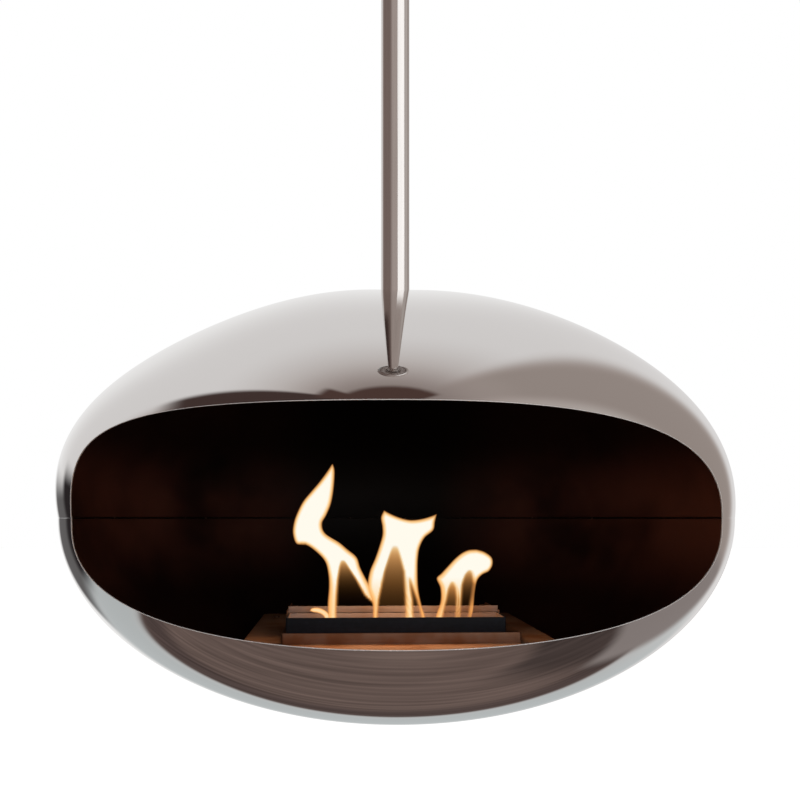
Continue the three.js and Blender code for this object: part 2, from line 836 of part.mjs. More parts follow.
// An open-topped tank that hangs in the deck by its lip.
function burnerTank() {
  const bottom = deckTop - tankDepth;
  const body = block([tank.left, tank.right], [tank.front, tank.back], [bottom, deckTop]);
  const reach = tankLip - clearance;
  const lip = block(
    [tank.left - reach, tank.right + reach],
    [tank.front - reach, tank.back + reach],
    [deckTop, deckTop + tankLipThickness]
  );
  const hollow = block(
    [tank.left + tankWall, tank.right - tankWall],
    [tank.front + tankWall, tank.back - tankWall],
    [bottom + tankWall, deckTop + 2 * tankLipThickness]
  );
  return geometryOf(solid(body).add(solid(lip)).subtract(solid(hollow)));
}

function insideTank(gap) {
  return {
    xs: [tank.left + tankWall + gap, tank.right - tankWall - gap],
    ys: [tank.front + tankWall + gap, tank.back - tankWall - gap],
  };
}

function ceramicWool() {
  const { xs, ys } = insideTank(clearance);
  return block(xs, ys, [deckTop - tankDepth + tankWall, deckTop - woolTop]);
}

// A plate with rows of slots, laid on the wool.
function burnerGrate() {
  const { xs, ys } = insideTank(clearance);
  const bottom = deckTop - woolTop;
  const top = bottom + grateThickness;
  const pitchX = (xs[1] - xs[0] - grateBar) / grateColumns;
  const pitchY = (ys[1] - ys[0] - grateBar) / grateRows;
  let plate = solid(block(xs, ys, [bottom, top]));
  for (let column = 0; column < grateColumns; column += 1) {
    for (let row = 0; row < grateRows; row += 1) {
      const x = xs[0] + grateBar + column * pitchX;
      const y = ys[0] + grateBar + row * pitchY;
      const opening = block(
        [x, x + pitchX - grateBar], [y, y + pitchY - grateBar], [bottom - 1, top + 1]
      );
      plate = plate.subtract(solid(opening));
    }
  }
  return geometryOf(plate);
}

// The dark frame that stands round the slot.
function slotFrame() {
  const outside = block(
    [frameLeft, frameRight], [casingFront, frameBack], [deckTop, frameTop]
  );
  const inside = block(
    [slot.left, slot.right], [slot.front, slot.back], [deckTop - 1, frameTop + 1]
  );
  return geometryOf(solid(outside).subtract(solid(inside)));
}

// The sliding lid, drawn back, with the lip that it is pulled by along its front edge.
function burnerLid() {
  const side = [
    [lidFront, lidBottom],
    [lidFront + lidDepth, lidBottom],
    [lidFront + lidDepth, lidBottom + lidThickness],
    [lidFront + lidThickness, lidBottom + lidThickness],
    [lidFront + lidThickness, lidBottom + lidLip],
    [lidFront, lidBottom + lidLip],
  ];
  const section = new THREE.Shape(side.map(([y, z]) => new THREE.Vector2(y, z)));
  const width = frameRight - frameLeft;
  const sheet = new THREE.ExtrudeGeometry(section, { depth: width, bevelEnabled: false });
  sheet.rotateX(Math.PI / 2).rotateZ(Math.PI / 2);
  return closed(sheet.translate(frameLeft, 0, 0));
}

// A rail under one end of the lid, with an edge that keeps the lid from drifting sideways.
function lidRail({ from, to, out }) {
  const ys = [railFront, casingBack];
  const bed = solid(block([from, to], ys, [deckTop, frameTop]));
  const side = out > 0 ? to : from;
  const near = side + out * clearance;
  const far = near + out * railGuide;
  const guide = solid(
    block([Math.min(near, far), Math.max(near, far)], ys, [deckTop, frameTop + railGuideHeight])
  );
  const foot = solid(
    block([Math.min(from, far), Math.max(to, far)], ys, [deckTop, frameTop - lidThickness])
  );
  let rail = bed.add(guide).add(foot);
  const hole = disc(
    railScrewRadius + clearance, deckTop - 1, deckTop + railScrewBite + clearance, roundSmall
  );
  for (const [x, y] of railScrewPlaces()) {
    if (x > from && x < to) rail = rail.subtract(solid(hole.clone().translate(x, y, 0)));
  }
  return geometryOf(rail);
}

add(pod, 'burner_casing', burnerCasing(), burnerSteel);
add(pod, 'burner_tank', burnerTank(), burnerSteel);
add(pod, 'ceramic_wool', ceramicWool(), fibre);
add(pod, 'burner_grate', burnerGrate(), burnerSteel);
add(pod, 'slot_frame', slotFrame(), darkSteel);
add(pod, 'burner_lid', burnerLid(), burnerSteel);
rails.forEach((rail) => add(pod, `lid_rail_${rail.name}`, lidRail(rail), darkSteel));
railScrewPlaces().forEach(([x, y], k) => {
  const shape = screw(
    railScrewRadius, casingWall + railScrewBite, railScrewHeadRadius, railScrewHead, 1
  );
  add(pod, `rail_screw_${k + 1}`, shape.translate(x, y, deckTop - casingWall), zincPlated);
});

export default fireplace;
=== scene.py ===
import json
import math

import bmesh
import bpy
import numpy as np
from bpy.props import FloatProperty, FloatVectorProperty, IntProperty, PointerProperty
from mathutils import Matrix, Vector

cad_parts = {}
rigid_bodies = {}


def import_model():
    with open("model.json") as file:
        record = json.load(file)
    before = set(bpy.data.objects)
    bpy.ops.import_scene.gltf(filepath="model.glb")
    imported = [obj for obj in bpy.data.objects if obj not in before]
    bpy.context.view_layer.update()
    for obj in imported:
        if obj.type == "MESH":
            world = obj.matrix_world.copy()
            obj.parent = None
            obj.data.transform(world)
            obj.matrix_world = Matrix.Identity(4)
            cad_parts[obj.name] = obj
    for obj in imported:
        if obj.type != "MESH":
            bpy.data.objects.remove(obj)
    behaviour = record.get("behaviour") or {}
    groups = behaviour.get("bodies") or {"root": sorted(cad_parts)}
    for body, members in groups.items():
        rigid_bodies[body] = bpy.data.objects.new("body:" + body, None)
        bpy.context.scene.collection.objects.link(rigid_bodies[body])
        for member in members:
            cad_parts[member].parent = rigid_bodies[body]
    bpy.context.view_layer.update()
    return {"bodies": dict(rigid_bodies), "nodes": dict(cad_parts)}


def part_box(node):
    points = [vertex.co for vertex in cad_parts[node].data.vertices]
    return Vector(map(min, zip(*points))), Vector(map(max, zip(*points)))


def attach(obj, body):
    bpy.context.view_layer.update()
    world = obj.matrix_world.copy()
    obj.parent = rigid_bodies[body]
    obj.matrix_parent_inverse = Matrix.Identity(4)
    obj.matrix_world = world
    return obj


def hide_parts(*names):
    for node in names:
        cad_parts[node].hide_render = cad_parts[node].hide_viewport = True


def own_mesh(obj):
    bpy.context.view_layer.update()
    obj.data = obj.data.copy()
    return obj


bl_info = {
    "name": "Hanging Fireplace",
    "version": (1, 0, 0),
    "blender": (4, 5, 0),
    "location": "View3D > Sidebar > Fireplace",
    "description": "Dresses the packed model of a hanging fireplace in its visible pieces",
    "category": "Object",
}

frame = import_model()
CLEARANCE = 0.0003

# ---------------------------------------------------------------- levels taken from the frame

POD_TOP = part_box("upper_shell")[1].z
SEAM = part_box("upper_shell")[0].z
POLE_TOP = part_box("pole")[1].z
POLE_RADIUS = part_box("pole")[1].x

# The pod's form, in metres: its reach from the pole's axis and its height from the seam.
SIDE_REACH = 0.570
FRONT_REACH = 0.621
BACK_REACH = 0.570
RISE = 0.400
DROP = 0.344
WALL = 0.003
UPPER_POWERS = (2.04, 2.04, 1.58, 2.0)  # left, right, front, back
LOWER_POWERS = (2.0, 2.0, 2.16, 2.0)
SHOULDERS = (0.031, 0.016, 0.0, 0.023)
SHOULDER_RATE = 4.5

# The mouth, seen along Y: a rounded outline round a centre, with its own power in each quarter.
MOUTH_CENTRE = (-0.030, -0.016)
MOUTH_LEFT = 0.461
MOUTH_RIGHT = 0.489
MOUTH_UP = 0.168
MOUTH_DOWN = 0.151
MOUTH_POWERS = (4.4, 2.9, 2.4, 2.4)  # upper left, upper right, lower left, lower right

TANK_LIP = 0.0047  # how far the tank's lip stands out over its body
FLAME_PLANE = -0.1655  # the flames' place along Y, over the slot


# ---------------------------------------------------------------- properties

def length(name, description, default, **limits):
    return FloatProperty(
        name=name, description=description, default=default, unit="LENGTH", precision=4, **limits
    )


def colour(name, description, default):
    return FloatVectorProperty(
        name=name, description=description, default=default, size=3, subtype="COLOR",
        min=0.0, max=1.0,
    )


def factor(name, description, default):
    return FloatProperty(
        name=name, description=description, default=default, min=0.0, max=1.0, subtype="FACTOR"
    )


class HearthPodSettings(bpy.types.PropertyGroup):
    """The pressed pod."""

    columns: IntProperty(
        name="Columns", description="Grid columns along the mouth", default=220, min=24, max=400
    )
    rows: IntProperty(
        name="Rows", description="Grid rows from the mouth to the back", default=110, min=12,
        max=240,
    )
    lip_round: length("Lip Rounding", "Rounding of the wall's edge round the mouth", 0.0014)
    steel: colour("Steel", "Colour of the polished steel", (0.80, 0.785, 0.775))
    steel_roughness: factor("Steel Roughness", "Roughness of the polished steel", 0.014)
    lining: colour("Lining", "Colour of the satin black lining", (0.0060, 0.0034, 0.0032))
    lining_roughness: factor("Lining Roughness", "Roughness of the lining", 0.50)


class HearthPoleSettings(bpy.types.PropertyGroup):
    """The pole and the ceiling fitting."""

    steel: colour("Brushed Steel", "Colour of the brushed steel", (0.76, 0.735, 0.72))
    roughness: factor("Roughness", "Roughness across the brushed grain", 0.085)
    edge: length("Edge", "Rounding of the turned edges", 0.0008)


class HearthBurnerSettings(bpy.types.PropertyGroup):
    """The burner and its platform."""

    platform: colour("Platform", "Colour of the platform's steel", (0.60, 0.36, 0.235))
    casing: colour("Casing", "Colour of the casing's steel", (0.31, 0.175, 0.115))
    dark: colour("Dark Frame", "Colour of the frame round the slot", (0.0095, 0.0125, 0.0190))


class HearthFlameSettings(bpy.types.PropertyGroup):
    """The flames."""

    core: colour("Core", "Colour of the flames' core", (1.0, 0.965, 0.85))
    body: colour("Body", "Colour between the flames' core and their edges", (1.0, 0.66, 0.30))
    rim: colour("Rim", "Colour of the flames' edges", (1.0, 0.42, 0.11))
    smoke: colour("Root", "Colour of the flames' roots and hollows", (0.40, 0.125, 0.045))
    glow: FloatProperty(
        name="Glow", description="Power of the light that the flames give", default=1.6,
        min=0.0, max=50.0, unit="POWER",
    )


class HearthStageSettings(bpy.types.PropertyGroup):
    """The studio."""

    floor_level: length("Floor Level", "Height of the floor", -2.72)
    daylight: factor("Daylight", "Strength of the plain soft light", 0.50)
    lamp: FloatProperty(
        name="Lamp", description="Power of the lamp overhead", default=26.0, min=0.0,
        unit="POWER",
    )


GROUPS = {
    "hearth_pod": HearthPodSettings,
    "hearth_pole": HearthPoleSettings,
    "hearth_burner": HearthBurnerSettings,
    "hearth_flames": HearthFlameSettings,
    "hearth_stage": HearthStageSettings,
}


# ---------------------------------------------------------------- surfaces

def grid_faces(rows, columns, close_rows=False, close_columns=False, first=0):
    """Four-cornered faces of a grid of points, numbered row by row."""
    r = np.arange(rows if close_rows else rows - 1)
    c = np.arange(columns if close_columns else columns - 1)
    row, column = np.meshgrid(r, c, indexing="ij")
    next_row = (row + 1) % rows
    next_column = (column + 1) % columns
    corners = [
        row * columns + column, row * columns + next_column,
        next_row * columns + next_column, next_row * columns + column,
    ]
    return first + np.stack(corners, axis=-1).reshape(-1, 4)


def fan(centre, ring_start, count, inward):
    """Triangles from one point to a closed ring of points."""
    here = ring_start + np.arange(count)
    there = ring_start + (np.arange(count) + 1) % count
    pair = (there, here) if inward else (here, there)
    return np.stack([np.full(count, centre), pair[0], pair[1]], axis=-1)


def both_ends(rows, columns):
    """Flat ends of a form that is skinned row by row: the first row's and the last row's."""
    first = np.arange(columns)[None, :]
    return [first[:, ::-1], first + columns * (rows - 1)]


def eased(corners, radius, steps=3):
    """Closed outline with each corner replaced by a short parabola.

    The parabola starts and ends at `radius` from the corner, and its middle control point is
    the corner: (1-t)^2 a + 2t(1-t) corner + t^2 b.
    """
    corners = np.asarray(corners, float)
    back = np.roll(corners, 1, axis=0) - corners
    ahead = np.roll(corners, -1, axis=0) - corners
    back_length = np.linalg.norm(back, axis=1, keepdims=True)
    ahead_length = np.linalg.norm(ahead, axis=1, keepdims=True)
    radii = np.broadcast_to(np.asarray(radius, float), (len(corners),))[:, None]
    reach = np.minimum(radii, 0.45 * np.minimum(back_length, ahead_length))
    start = corners + back / back_length * reach
    end = corners + ahead / ahead_length * reach
    t = np.linspace(0.0, 1.0, steps + 1)[None, :, None]
    curve = (1 - t) ** 2 * start[:, None] + 2 * t * (1 - t) * corners[:, None] + t**2 * end[:, None]
    return curve.reshape(-1, corners.shape[1])


class Piece:
    """Points and faces that are gathered into one mesh."""

    def __init__(self):
        self.points = []
        self.faces = []
        self.slots = []
        self.count = 0

    def add(self, points, faces):
        points = np.asarray(points, float).reshape(-1, 3)
        for group in faces:
            group = np.asarray(group) + self.count
            self.faces.append(group)
            self.slots.append(np.zeros(len(group), int))
        self.points.append(points)
        self.count += len(points)
        return self

    def turned(self, profile, segments):
        """Profile of (radius, height) turned about Z: x = r cos a, y = r sin a.

        An open profile starts and ends on the axis. A closed one has no point on it.
        """
        profile = np.asarray(profile, float)
        solid = profile[0, 0] < 1e-9 and profile[-1, 0] < 1e-9
        wall = profile[1:-1] if solid else profile
        angle = np.linspace(0, 2 * np.pi, segments, endpoint=False)
        radius = wall[:, 0, None]
        points = np.stack(
            [radius * np.cos(angle), radius * np.sin(angle), wall[:, 1, None] + 0 * angle], axis=-1
        ).reshape(-1, 3)
        faces = [grid_faces(len(wall), segments, not solid, True)]
        if solid:
            ends = [[0, 0, profile[0, 1]], [0, 0, profile[-1, 1]]]
            faces.append(fan(len(points), 0, segments, True))
            faces.append(fan(len(points) + 1, len(points) - segments, segments, False))
            points = np.vstack([points, ends])
        return self.add(points, faces)

    def prism(self, outline, axis, start, end):
        """Closed outline, counter-clockwise seen from the axis' far end, carried along it."""
        outline = np.asarray(outline, float)
        count = len(outline)
        points = np.zeros((2, count, 3))
        first, second = [(1, 2), (2, 0), (0, 1)][axis]
        points[:, :, first] = outline[:, 0]
        points[:, :, second] = outline[:, 1]
        points[0, :, axis] = start
        points[1, :, axis] = end
        ends = np.stack([np.arange(count)[::-1], np.arange(count) + count])
        return self.add(points, [grid_faces(2, count, False, True), ends])

    def finish(self, name, materials, smooth_angle=35.0):
        """One object at the origin, its place in its mesh."""
        points = np.vstack(self.points)
        mesh = bpy.data.meshes.new(name)
        mesh.vertices.add(len(points))
        mesh.vertices.foreach_set("co", points.astype(np.float32).ravel())
        corners = np.concatenate([group.ravel() for group in self.faces]).astype(np.int32)
        sizes = np.concatenate([np.full(len(g), g.shape[1]) for g in self.faces])
        starts = np.concatenate([[0], np.cumsum(sizes)[:-1]]).astype(np.int32)
        mesh.loops.add(len(corners))
        mesh.loops.foreach_set("vertex_index", corners)
        mesh.polygons.add(len(sizes))
        mesh.polygons.foreach_set("loop_start", starts)
        mesh.polygons.foreach_set("material_index", np.concatenate(self.slots).astype(np.int32))
        for material in materials:
            mesh.materials.append(material)
        mesh.update(calc_edges=True)
        mesh.validate()
        mesh.shade_smooth()
        if smooth_angle < 180:
            mesh.set_sharp_from_angle(angle=math.radians(smooth_angle))
        piece = bpy.data.objects.new(name, mesh)
        bpy.context.scene.collection.objects.link(piece)
        return piece


def bevelled(piece, width, segments=2):
    """Rounds the piece's sharp edges."""
    bevel = piece.modifiers.new("Edges", "BEVEL")
    bevel.width = width
    bevel.segments = segments
    bevel.limit_method = "ANGLE"
    bevel.angle_limit = math.radians(40)


# ---------------------------------------------------------------- materials

def new_material(name):
    material = bpy.data.materials.new(name)
    material.use_nodes = True
    tree = material.node_tree
    tree.nodes.clear()
    output = tree.nodes.new("ShaderNodeOutputMaterial")
    shader = tree.nodes.new("ShaderNodeBsdfPrincipled")
    tree.links.new(shader.outputs["BSDF"], output.inputs["Surface"])
    return material, tree, shader


def new_group(name, inputs, outputs):
    group = bpy.data.node_groups.new(name, "ShaderNodeTree")
    for label, kind, default in inputs:
        socket = group.interface.new_socket(label, in_out="INPUT", socket_type=kind)
        socket.default_value = default
    for label, kind in outputs:
        group.interface.new_socket(label, in_out="OUTPUT", socket_type=kind)
    source = group.nodes.new("NodeGroupInput")
    target = group.nodes.new("NodeGroupOutput")
    return group, source, target


def mix_node(tree, blend="MIX"):
    node = tree.nodes.new("ShaderNodeMix")
    node.data_type = "RGBA"
    node.blend_type = blend
    return node


def link_mix(tree, node, first, second, amount):
    """Feeds a colour mix: sockets are linked, and plain values are set."""
    for index, value in ((0, amount), (6, first), (7, second)):
        if isinstance(value, bpy.types.NodeSocket):
            tree.links.new(value, node.inputs[index])
        elif index == 0:
            node.inputs[0].default_value = value
        else:
            node.inputs[index].default_value = (*value, 1.0) if len(value) == 3 else value
    return node.outputs[2]


def math_node(tree, operation, first, second=0.0):
    node = tree.nodes.new("ShaderNodeMath")
    node.operation = operation
    for index, value in ((0, first), (1, second)):
        if isinstance(value, bpy.types.NodeSocket):
            tree.links.new(value, node.inputs[index])
        else:
            node.inputs[index].default_value = value
    return node.outputs[0]


def map_range(tree, value, low, high, to_low=0.0, to_high=1.0, smooth=True):
    node = tree.nodes.new("ShaderNodeMapRange")
    node.interpolation_type = "SMOOTHSTEP" if smooth else "LINEAR"
    tree.links.new(value, node.inputs["Value"])
    node.inputs["From Min"].default_value = low
    node.inputs["From Max"].default_value = high
    node.inputs["To Min"].default_value = to_low
    node.inputs["To Max"].default_value = to_high
    return node.outputs["Result"]


def noise(tree, vector, scale, detail=2.0, stretch=None):
    node = tree.nodes.new("ShaderNodeTexNoise")
    node.inputs["Scale"].default_value = scale
    node.inputs["Detail"].default_value = detail
    if stretch is not None:
        mapping = tree.nodes.new("ShaderNodeMapping")
        mapping.inputs["Scale"].default_value = stretch
        tree.links.new(vector, mapping.inputs["Vector"])
        vector = mapping.outputs["Vector"]
    tree.links.new(vector, node.inputs["Vector"])
    return node.outputs["Fac"]


def object_coordinates(tree):
    return tree.nodes.new("ShaderNodeTexCoord").outputs["Object"]


def bump(tree, shader, height, strength, distance):
    node = tree.nodes.new("ShaderNodeBump")
    node.inputs["Strength"].default_value = strength
    node.inputs["Distance"].default_value = distance
    tree.links.new(height, node.inputs["Height"])
    tree.links.new(node.outputs["Normal"], shader.inputs["Normal"])


def brushed_grain():
    """Fine parallel scratches: noise drawn out along one direction, fine across it."""
    name = "Brushed Grain"
    if name in bpy.data.node_groups:
        return bpy.data.node_groups[name]
    group, source, target = new_group(
        name,
        [
            ("Stretch", "NodeSocketVector", (400.0, 400.0, 4.0)),
            ("Contrast", "NodeSocketFloat", 0.5),
        ],
        [("Grain", "NodeSocketFloat"), ("Shade", "NodeSocketFloat")],
    )
    place = object_coordinates(group)
    scaled = group.nodes.new("ShaderNodeVectorMath")
    scaled.operation = "MULTIPLY"
    group.links.new(place, scaled.inputs[0])
    group.links.new(source.outputs["Stretch"], scaled.inputs[1])
    fine = group.nodes.new("ShaderNodeTexNoise")
    fine.inputs["Scale"].default_value = 1.0
    fine.inputs["Detail"].default_value = 3.0
    group.links.new(scaled.outputs[0], fine.inputs["Vector"])
    group.links.new(fine.outputs["Fac"], target.inputs["Grain"])
    centred = math_node(group, "SUBTRACT", fine.outputs["Fac"], 0.5)
    swing = math_node(group, "MULTIPLY", centred, source.outputs["Contrast"])
    group.links.new(math_node(group, "ADD", swing, 1.0), target.inputs["Shade"])
    return group


def handling_marks():
    """Faint cloudy marks, as cloth and fingers leave on metal: two noises of different size."""
    name = "Handling Marks"
    if name in bpy.data.node_groups:
        return bpy.data.node_groups[name]
    group, source, target = new_group(
        name,
        [("Scale", "NodeSocketFloat", 8.0), ("Amount", "NodeSocketFloat", 0.1)],
        [("Mask", "NodeSocketFloat")],
    )
    place = object_coordinates(group)
    broad = group.nodes.new("ShaderNodeTexNoise")
    broad.inputs["Detail"].default_value = 4.0
    group.links.new(place, broad.inputs["Vector"])
    group.links.new(source.outputs["Scale"], broad.inputs["Scale"])
    fine = group.nodes.new("ShaderNodeTexNoise")
    fine.inputs["Detail"].default_value = 2.0
    group.links.new(place, fine.inputs["Vector"])
    finer = math_node(group, "MULTIPLY", source.outputs["Scale"], 9.0)
    group.links.new(finer, fine.inputs["Scale"])
    both = math_node(group, "MULTIPLY", broad.outputs["Fac"], fine.outputs["Fac"])
    spread = map_range(group, both, 0.12, 0.45)
    group.links.new(
        math_node(group, "MULTIPLY", spread, source.outputs["Amount"]), target.inputs["Mask"]
    )
    return group


def place_group(tree, group, **values):
    node = tree.nodes.new("ShaderNodeGroup")
    node.node_tree = group
    for label, value in values.items():
        node.inputs[label].default_value = value
    return node


def metal(name, base, roughness, grain=None, contrast=0.3, marks=0.08, mark_scale=8.0,
          relief=0.0, metallic=1.0, tint=None):
    """A metal with its grain in colour, roughness and relief, and with handling marks."""
    material, tree, shader = new_material(name)
    shader.inputs["Metallic"].default_value = metallic
    dust = place_group(tree, handling_marks(), Scale=mark_scale, Amount=marks)
    rough = math_node(tree, "ADD", dust.outputs["Mask"], roughness)
    shade = (*base, 1.0)
    if grain is not None:
        lines = place_group(tree, brushed_grain(), Stretch=grain, Contrast=contrast)
        toned = mix_node(tree, "MULTIPLY")
        shade = link_mix(tree, toned, base, lines.outputs["Shade"], 1.0)
        rough = math_node(tree, "MULTIPLY", rough, lines.outputs["Shade"])
        if relief > 0:
            bump(tree, shader, lines.outputs["Grain"], 0.35, relief)
    if tint is not None:
        broad = map_range(tree, noise(tree, object_coordinates(tree), 14.0, 3.0), 0.42, 0.68)
        shade = link_mix(tree, mix_node(tree), shade, tint, broad)
    if isinstance(shade, bpy.types.NodeSocket):
        tree.links.new(shade, shader.inputs["Base Color"])
    else:
        toned = link_mix(
            tree, mix_node(tree), base, tuple(0.86 * c for c in base), dust.outputs["Mask"]
        )
        tree.links.new(toned, shader.inputs["Base Color"])
    tree.links.new(rough, shader.inputs["Roughness"])
    return material


# ---------------------------------------------------------------- form of the pod

def round_the_pod(azimuth, left, right, front, back):
    """One value at the sides, one in front and one behind, blended by squared cosines."""
    across = np.cos(azimuth) ** 2
    along = np.sin(azimuth) ** 2
    side = np.where(np.cos(azimuth) > 0, right, left)
    end = np.where(np.sin(azimuth) < 0, front, back)
    return across * side + along * end


def pod_point(direction, inset, upper):
    """Where a ray from the pod's middle meets its wall.

    Each upright section is a superellipse from the seam to the pole. With its climb angle c,
    out = (reach - inset) cos(c)^(2/power) and height = (rise - inset) sin(c)^(2/power), both
    times 1 + shoulder sin(rate c) cos(c). The ray's slope gives the tangent of c outright.
    """
    x, y, z = direction[..., 0], direction[..., 1], np.abs(direction[..., 2])
    side = np.where(direction[..., 2] < 0, -1.0, 1.0)
    azimuth = np.arctan2(y, x)
    flat = np.hypot(x, y)
    reach = round_the_pod(azimuth, SIDE_REACH, SIDE_REACH, FRONT_REACH, BACK_REACH) - inset
    tall = (RISE if upper else DROP) - inset
    power = round_the_pod(azimuth, *(UPPER_POWERS if upper else LOWER_POWERS))
    climb = np.arctan2((z * reach) ** (power / 2), (flat * tall) ** (power / 2))
    shoulder = round_the_pod(azimuth, *SHOULDERS) if upper else 0.0
    stretch = 1 + shoulder * np.sin(SHOULDER_RATE * climb) * np.cos(climb)
    out = reach * np.clip(np.cos(climb), 0, 1) ** (2 / power) * stretch
    height = tall * np.sin(climb) ** (2 / power) * stretch
    return np.stack([out * np.cos(azimuth), out * np.sin(azimuth), side * height], axis=-1)


def pod_normal(direction, inset, upper):
    """Outward normal of the wall: the cross product of two short steps along it."""
    near_back = np.abs(direction[..., 1:2]) > 0.99999
    helper = np.where(near_back, [1.0, 0.0, 0.0], [0.0, 1.0, 0.0])
    first = np.cross(direction, helper)
    first /= np.linalg.norm(first, axis=-1, keepdims=True) + 1e-12
    second = np.cross(direction, first)
    step = 1e-4
    along = (pod_point(direction + step * first, inset, upper)
             - pod_point(direction - step * first, inset, upper))
    across = (pod_point(direction + step * second, inset, upper)
              - pod_point(direction - step * second, inset, upper))
    normal = np.cross(along, across)
    normal /= np.linalg.norm(normal, axis=-1, keepdims=True) + 1e-15
    facing = np.sign(np.sum(normal * direction, axis=-1, keepdims=True))
    return normal * np.where(facing == 0, 1, facing)


def mouth_outline(angle):
    """The mouth's outline at an angle: a superellipse quarter with its own power."""
    right, above = np.cos(angle) >= 0, np.sin(angle) >= -1e-12
    upper_left, upper_right, lower_left, lower_right = MOUTH_POWERS
    power = np.where(
        above, np.where(right, upper_right, upper_left), np.where(right, lower_right, lower_left)
    )
    across = np.abs(np.cos(angle)) ** (2 / power) * np.where(right, MOUTH_RIGHT, -MOUTH_LEFT)
    up = np.abs(np.sin(angle)) ** (2 / power) * np.where(above, MOUTH_UP, -MOUTH_DOWN)
    return np.stack([MOUTH_CENTRE[0] + across, MOUTH_CENTRE[1] + up], axis=-1)


def mouth_edge(upper, count):
    """Points of the mouth's outline on one side of the seam, evenly spaced, left to right.

    The first and last lie on the seam, and the second and last but one lie just off it, for
    the fine groove between the shells.
    """
    dense = mouth_outline(np.linspace(0, 2 * np.pi, 20001))
    side = 1 if upper else -1
    kept = dense[side * dense[:, 1] > 0]
    if not upper:
        kept = kept[np.argsort(np.arctan2(-kept[:, 1], kept[:, 0]))]
    kept = kept[np.argsort(-np.arctan2(np.abs(kept[:, 1]), kept[:, 0] - MOUTH_CENTRE[0]))]
    travelled = np.concatenate(
        [[0], np.cumsum(np.linalg.norm(np.diff(kept, axis=0), axis=1))]
    )
    wanted = np.linspace(0, travelled[-1], count - 2)
    wanted = np.concatenate([[0, 0.0008], wanted[1:-1], [travelled[-1] - 0.0008, travelled[-1]]])
    points = np.stack(
        [np.interp(wanted, travelled, kept[:, 0]), np.interp(wanted, travelled, kept[:, 1])], -1
    )
    points[[0, -1], 1] = 0.0
    return points


def onto_wall(edge, inset, upper):
    """The wall in front of each point of the mouth's outline, found by halving."""
    near = np.full(len(edge), -0.70)
    far = np.full(len(edge), -0.02)
    for _ in range(48):
        middle = (near + far) / 2
        spot = np.stack([edge[:, 0], middle, edge[:, 1]], axis=-1)
        distance = np.linalg.norm(spot, axis=-1)
        wall = np.linalg.norm(pod_point(spot, inset, upper), axis=-1)
        outside = distance > wall
        near = np.where(outside, middle, near)
        far = np.where(outside, far, middle)
    return np.stack([edge[:, 0], (near + far) / 2, edge[:, 1]], axis=-1)


def swept_wall(lip, inset, upper, shares):
    """Rows of the wall from the lip to the back: each row turns every lip direction by a share
    of its angle towards the back, and the ray of that direction gives the point."""
    start = lip / np.linalg.norm(lip, axis=-1, keepdims=True)
    back = np.array([0.0, 1.0, 0.0])
    angle = np.arccos(np.clip(start @ back, -1, 1))[None, :, None]
    share = shares[:, None, None]
    direction = (np.sin((1 - share) * angle) * start[None] + np.sin(share * angle) * back)
    direction /= np.linalg.norm(direction, axis=-1, keepdims=True)
    return pod_point(direction, inset, upper), pod_normal(direction, inset, upper)


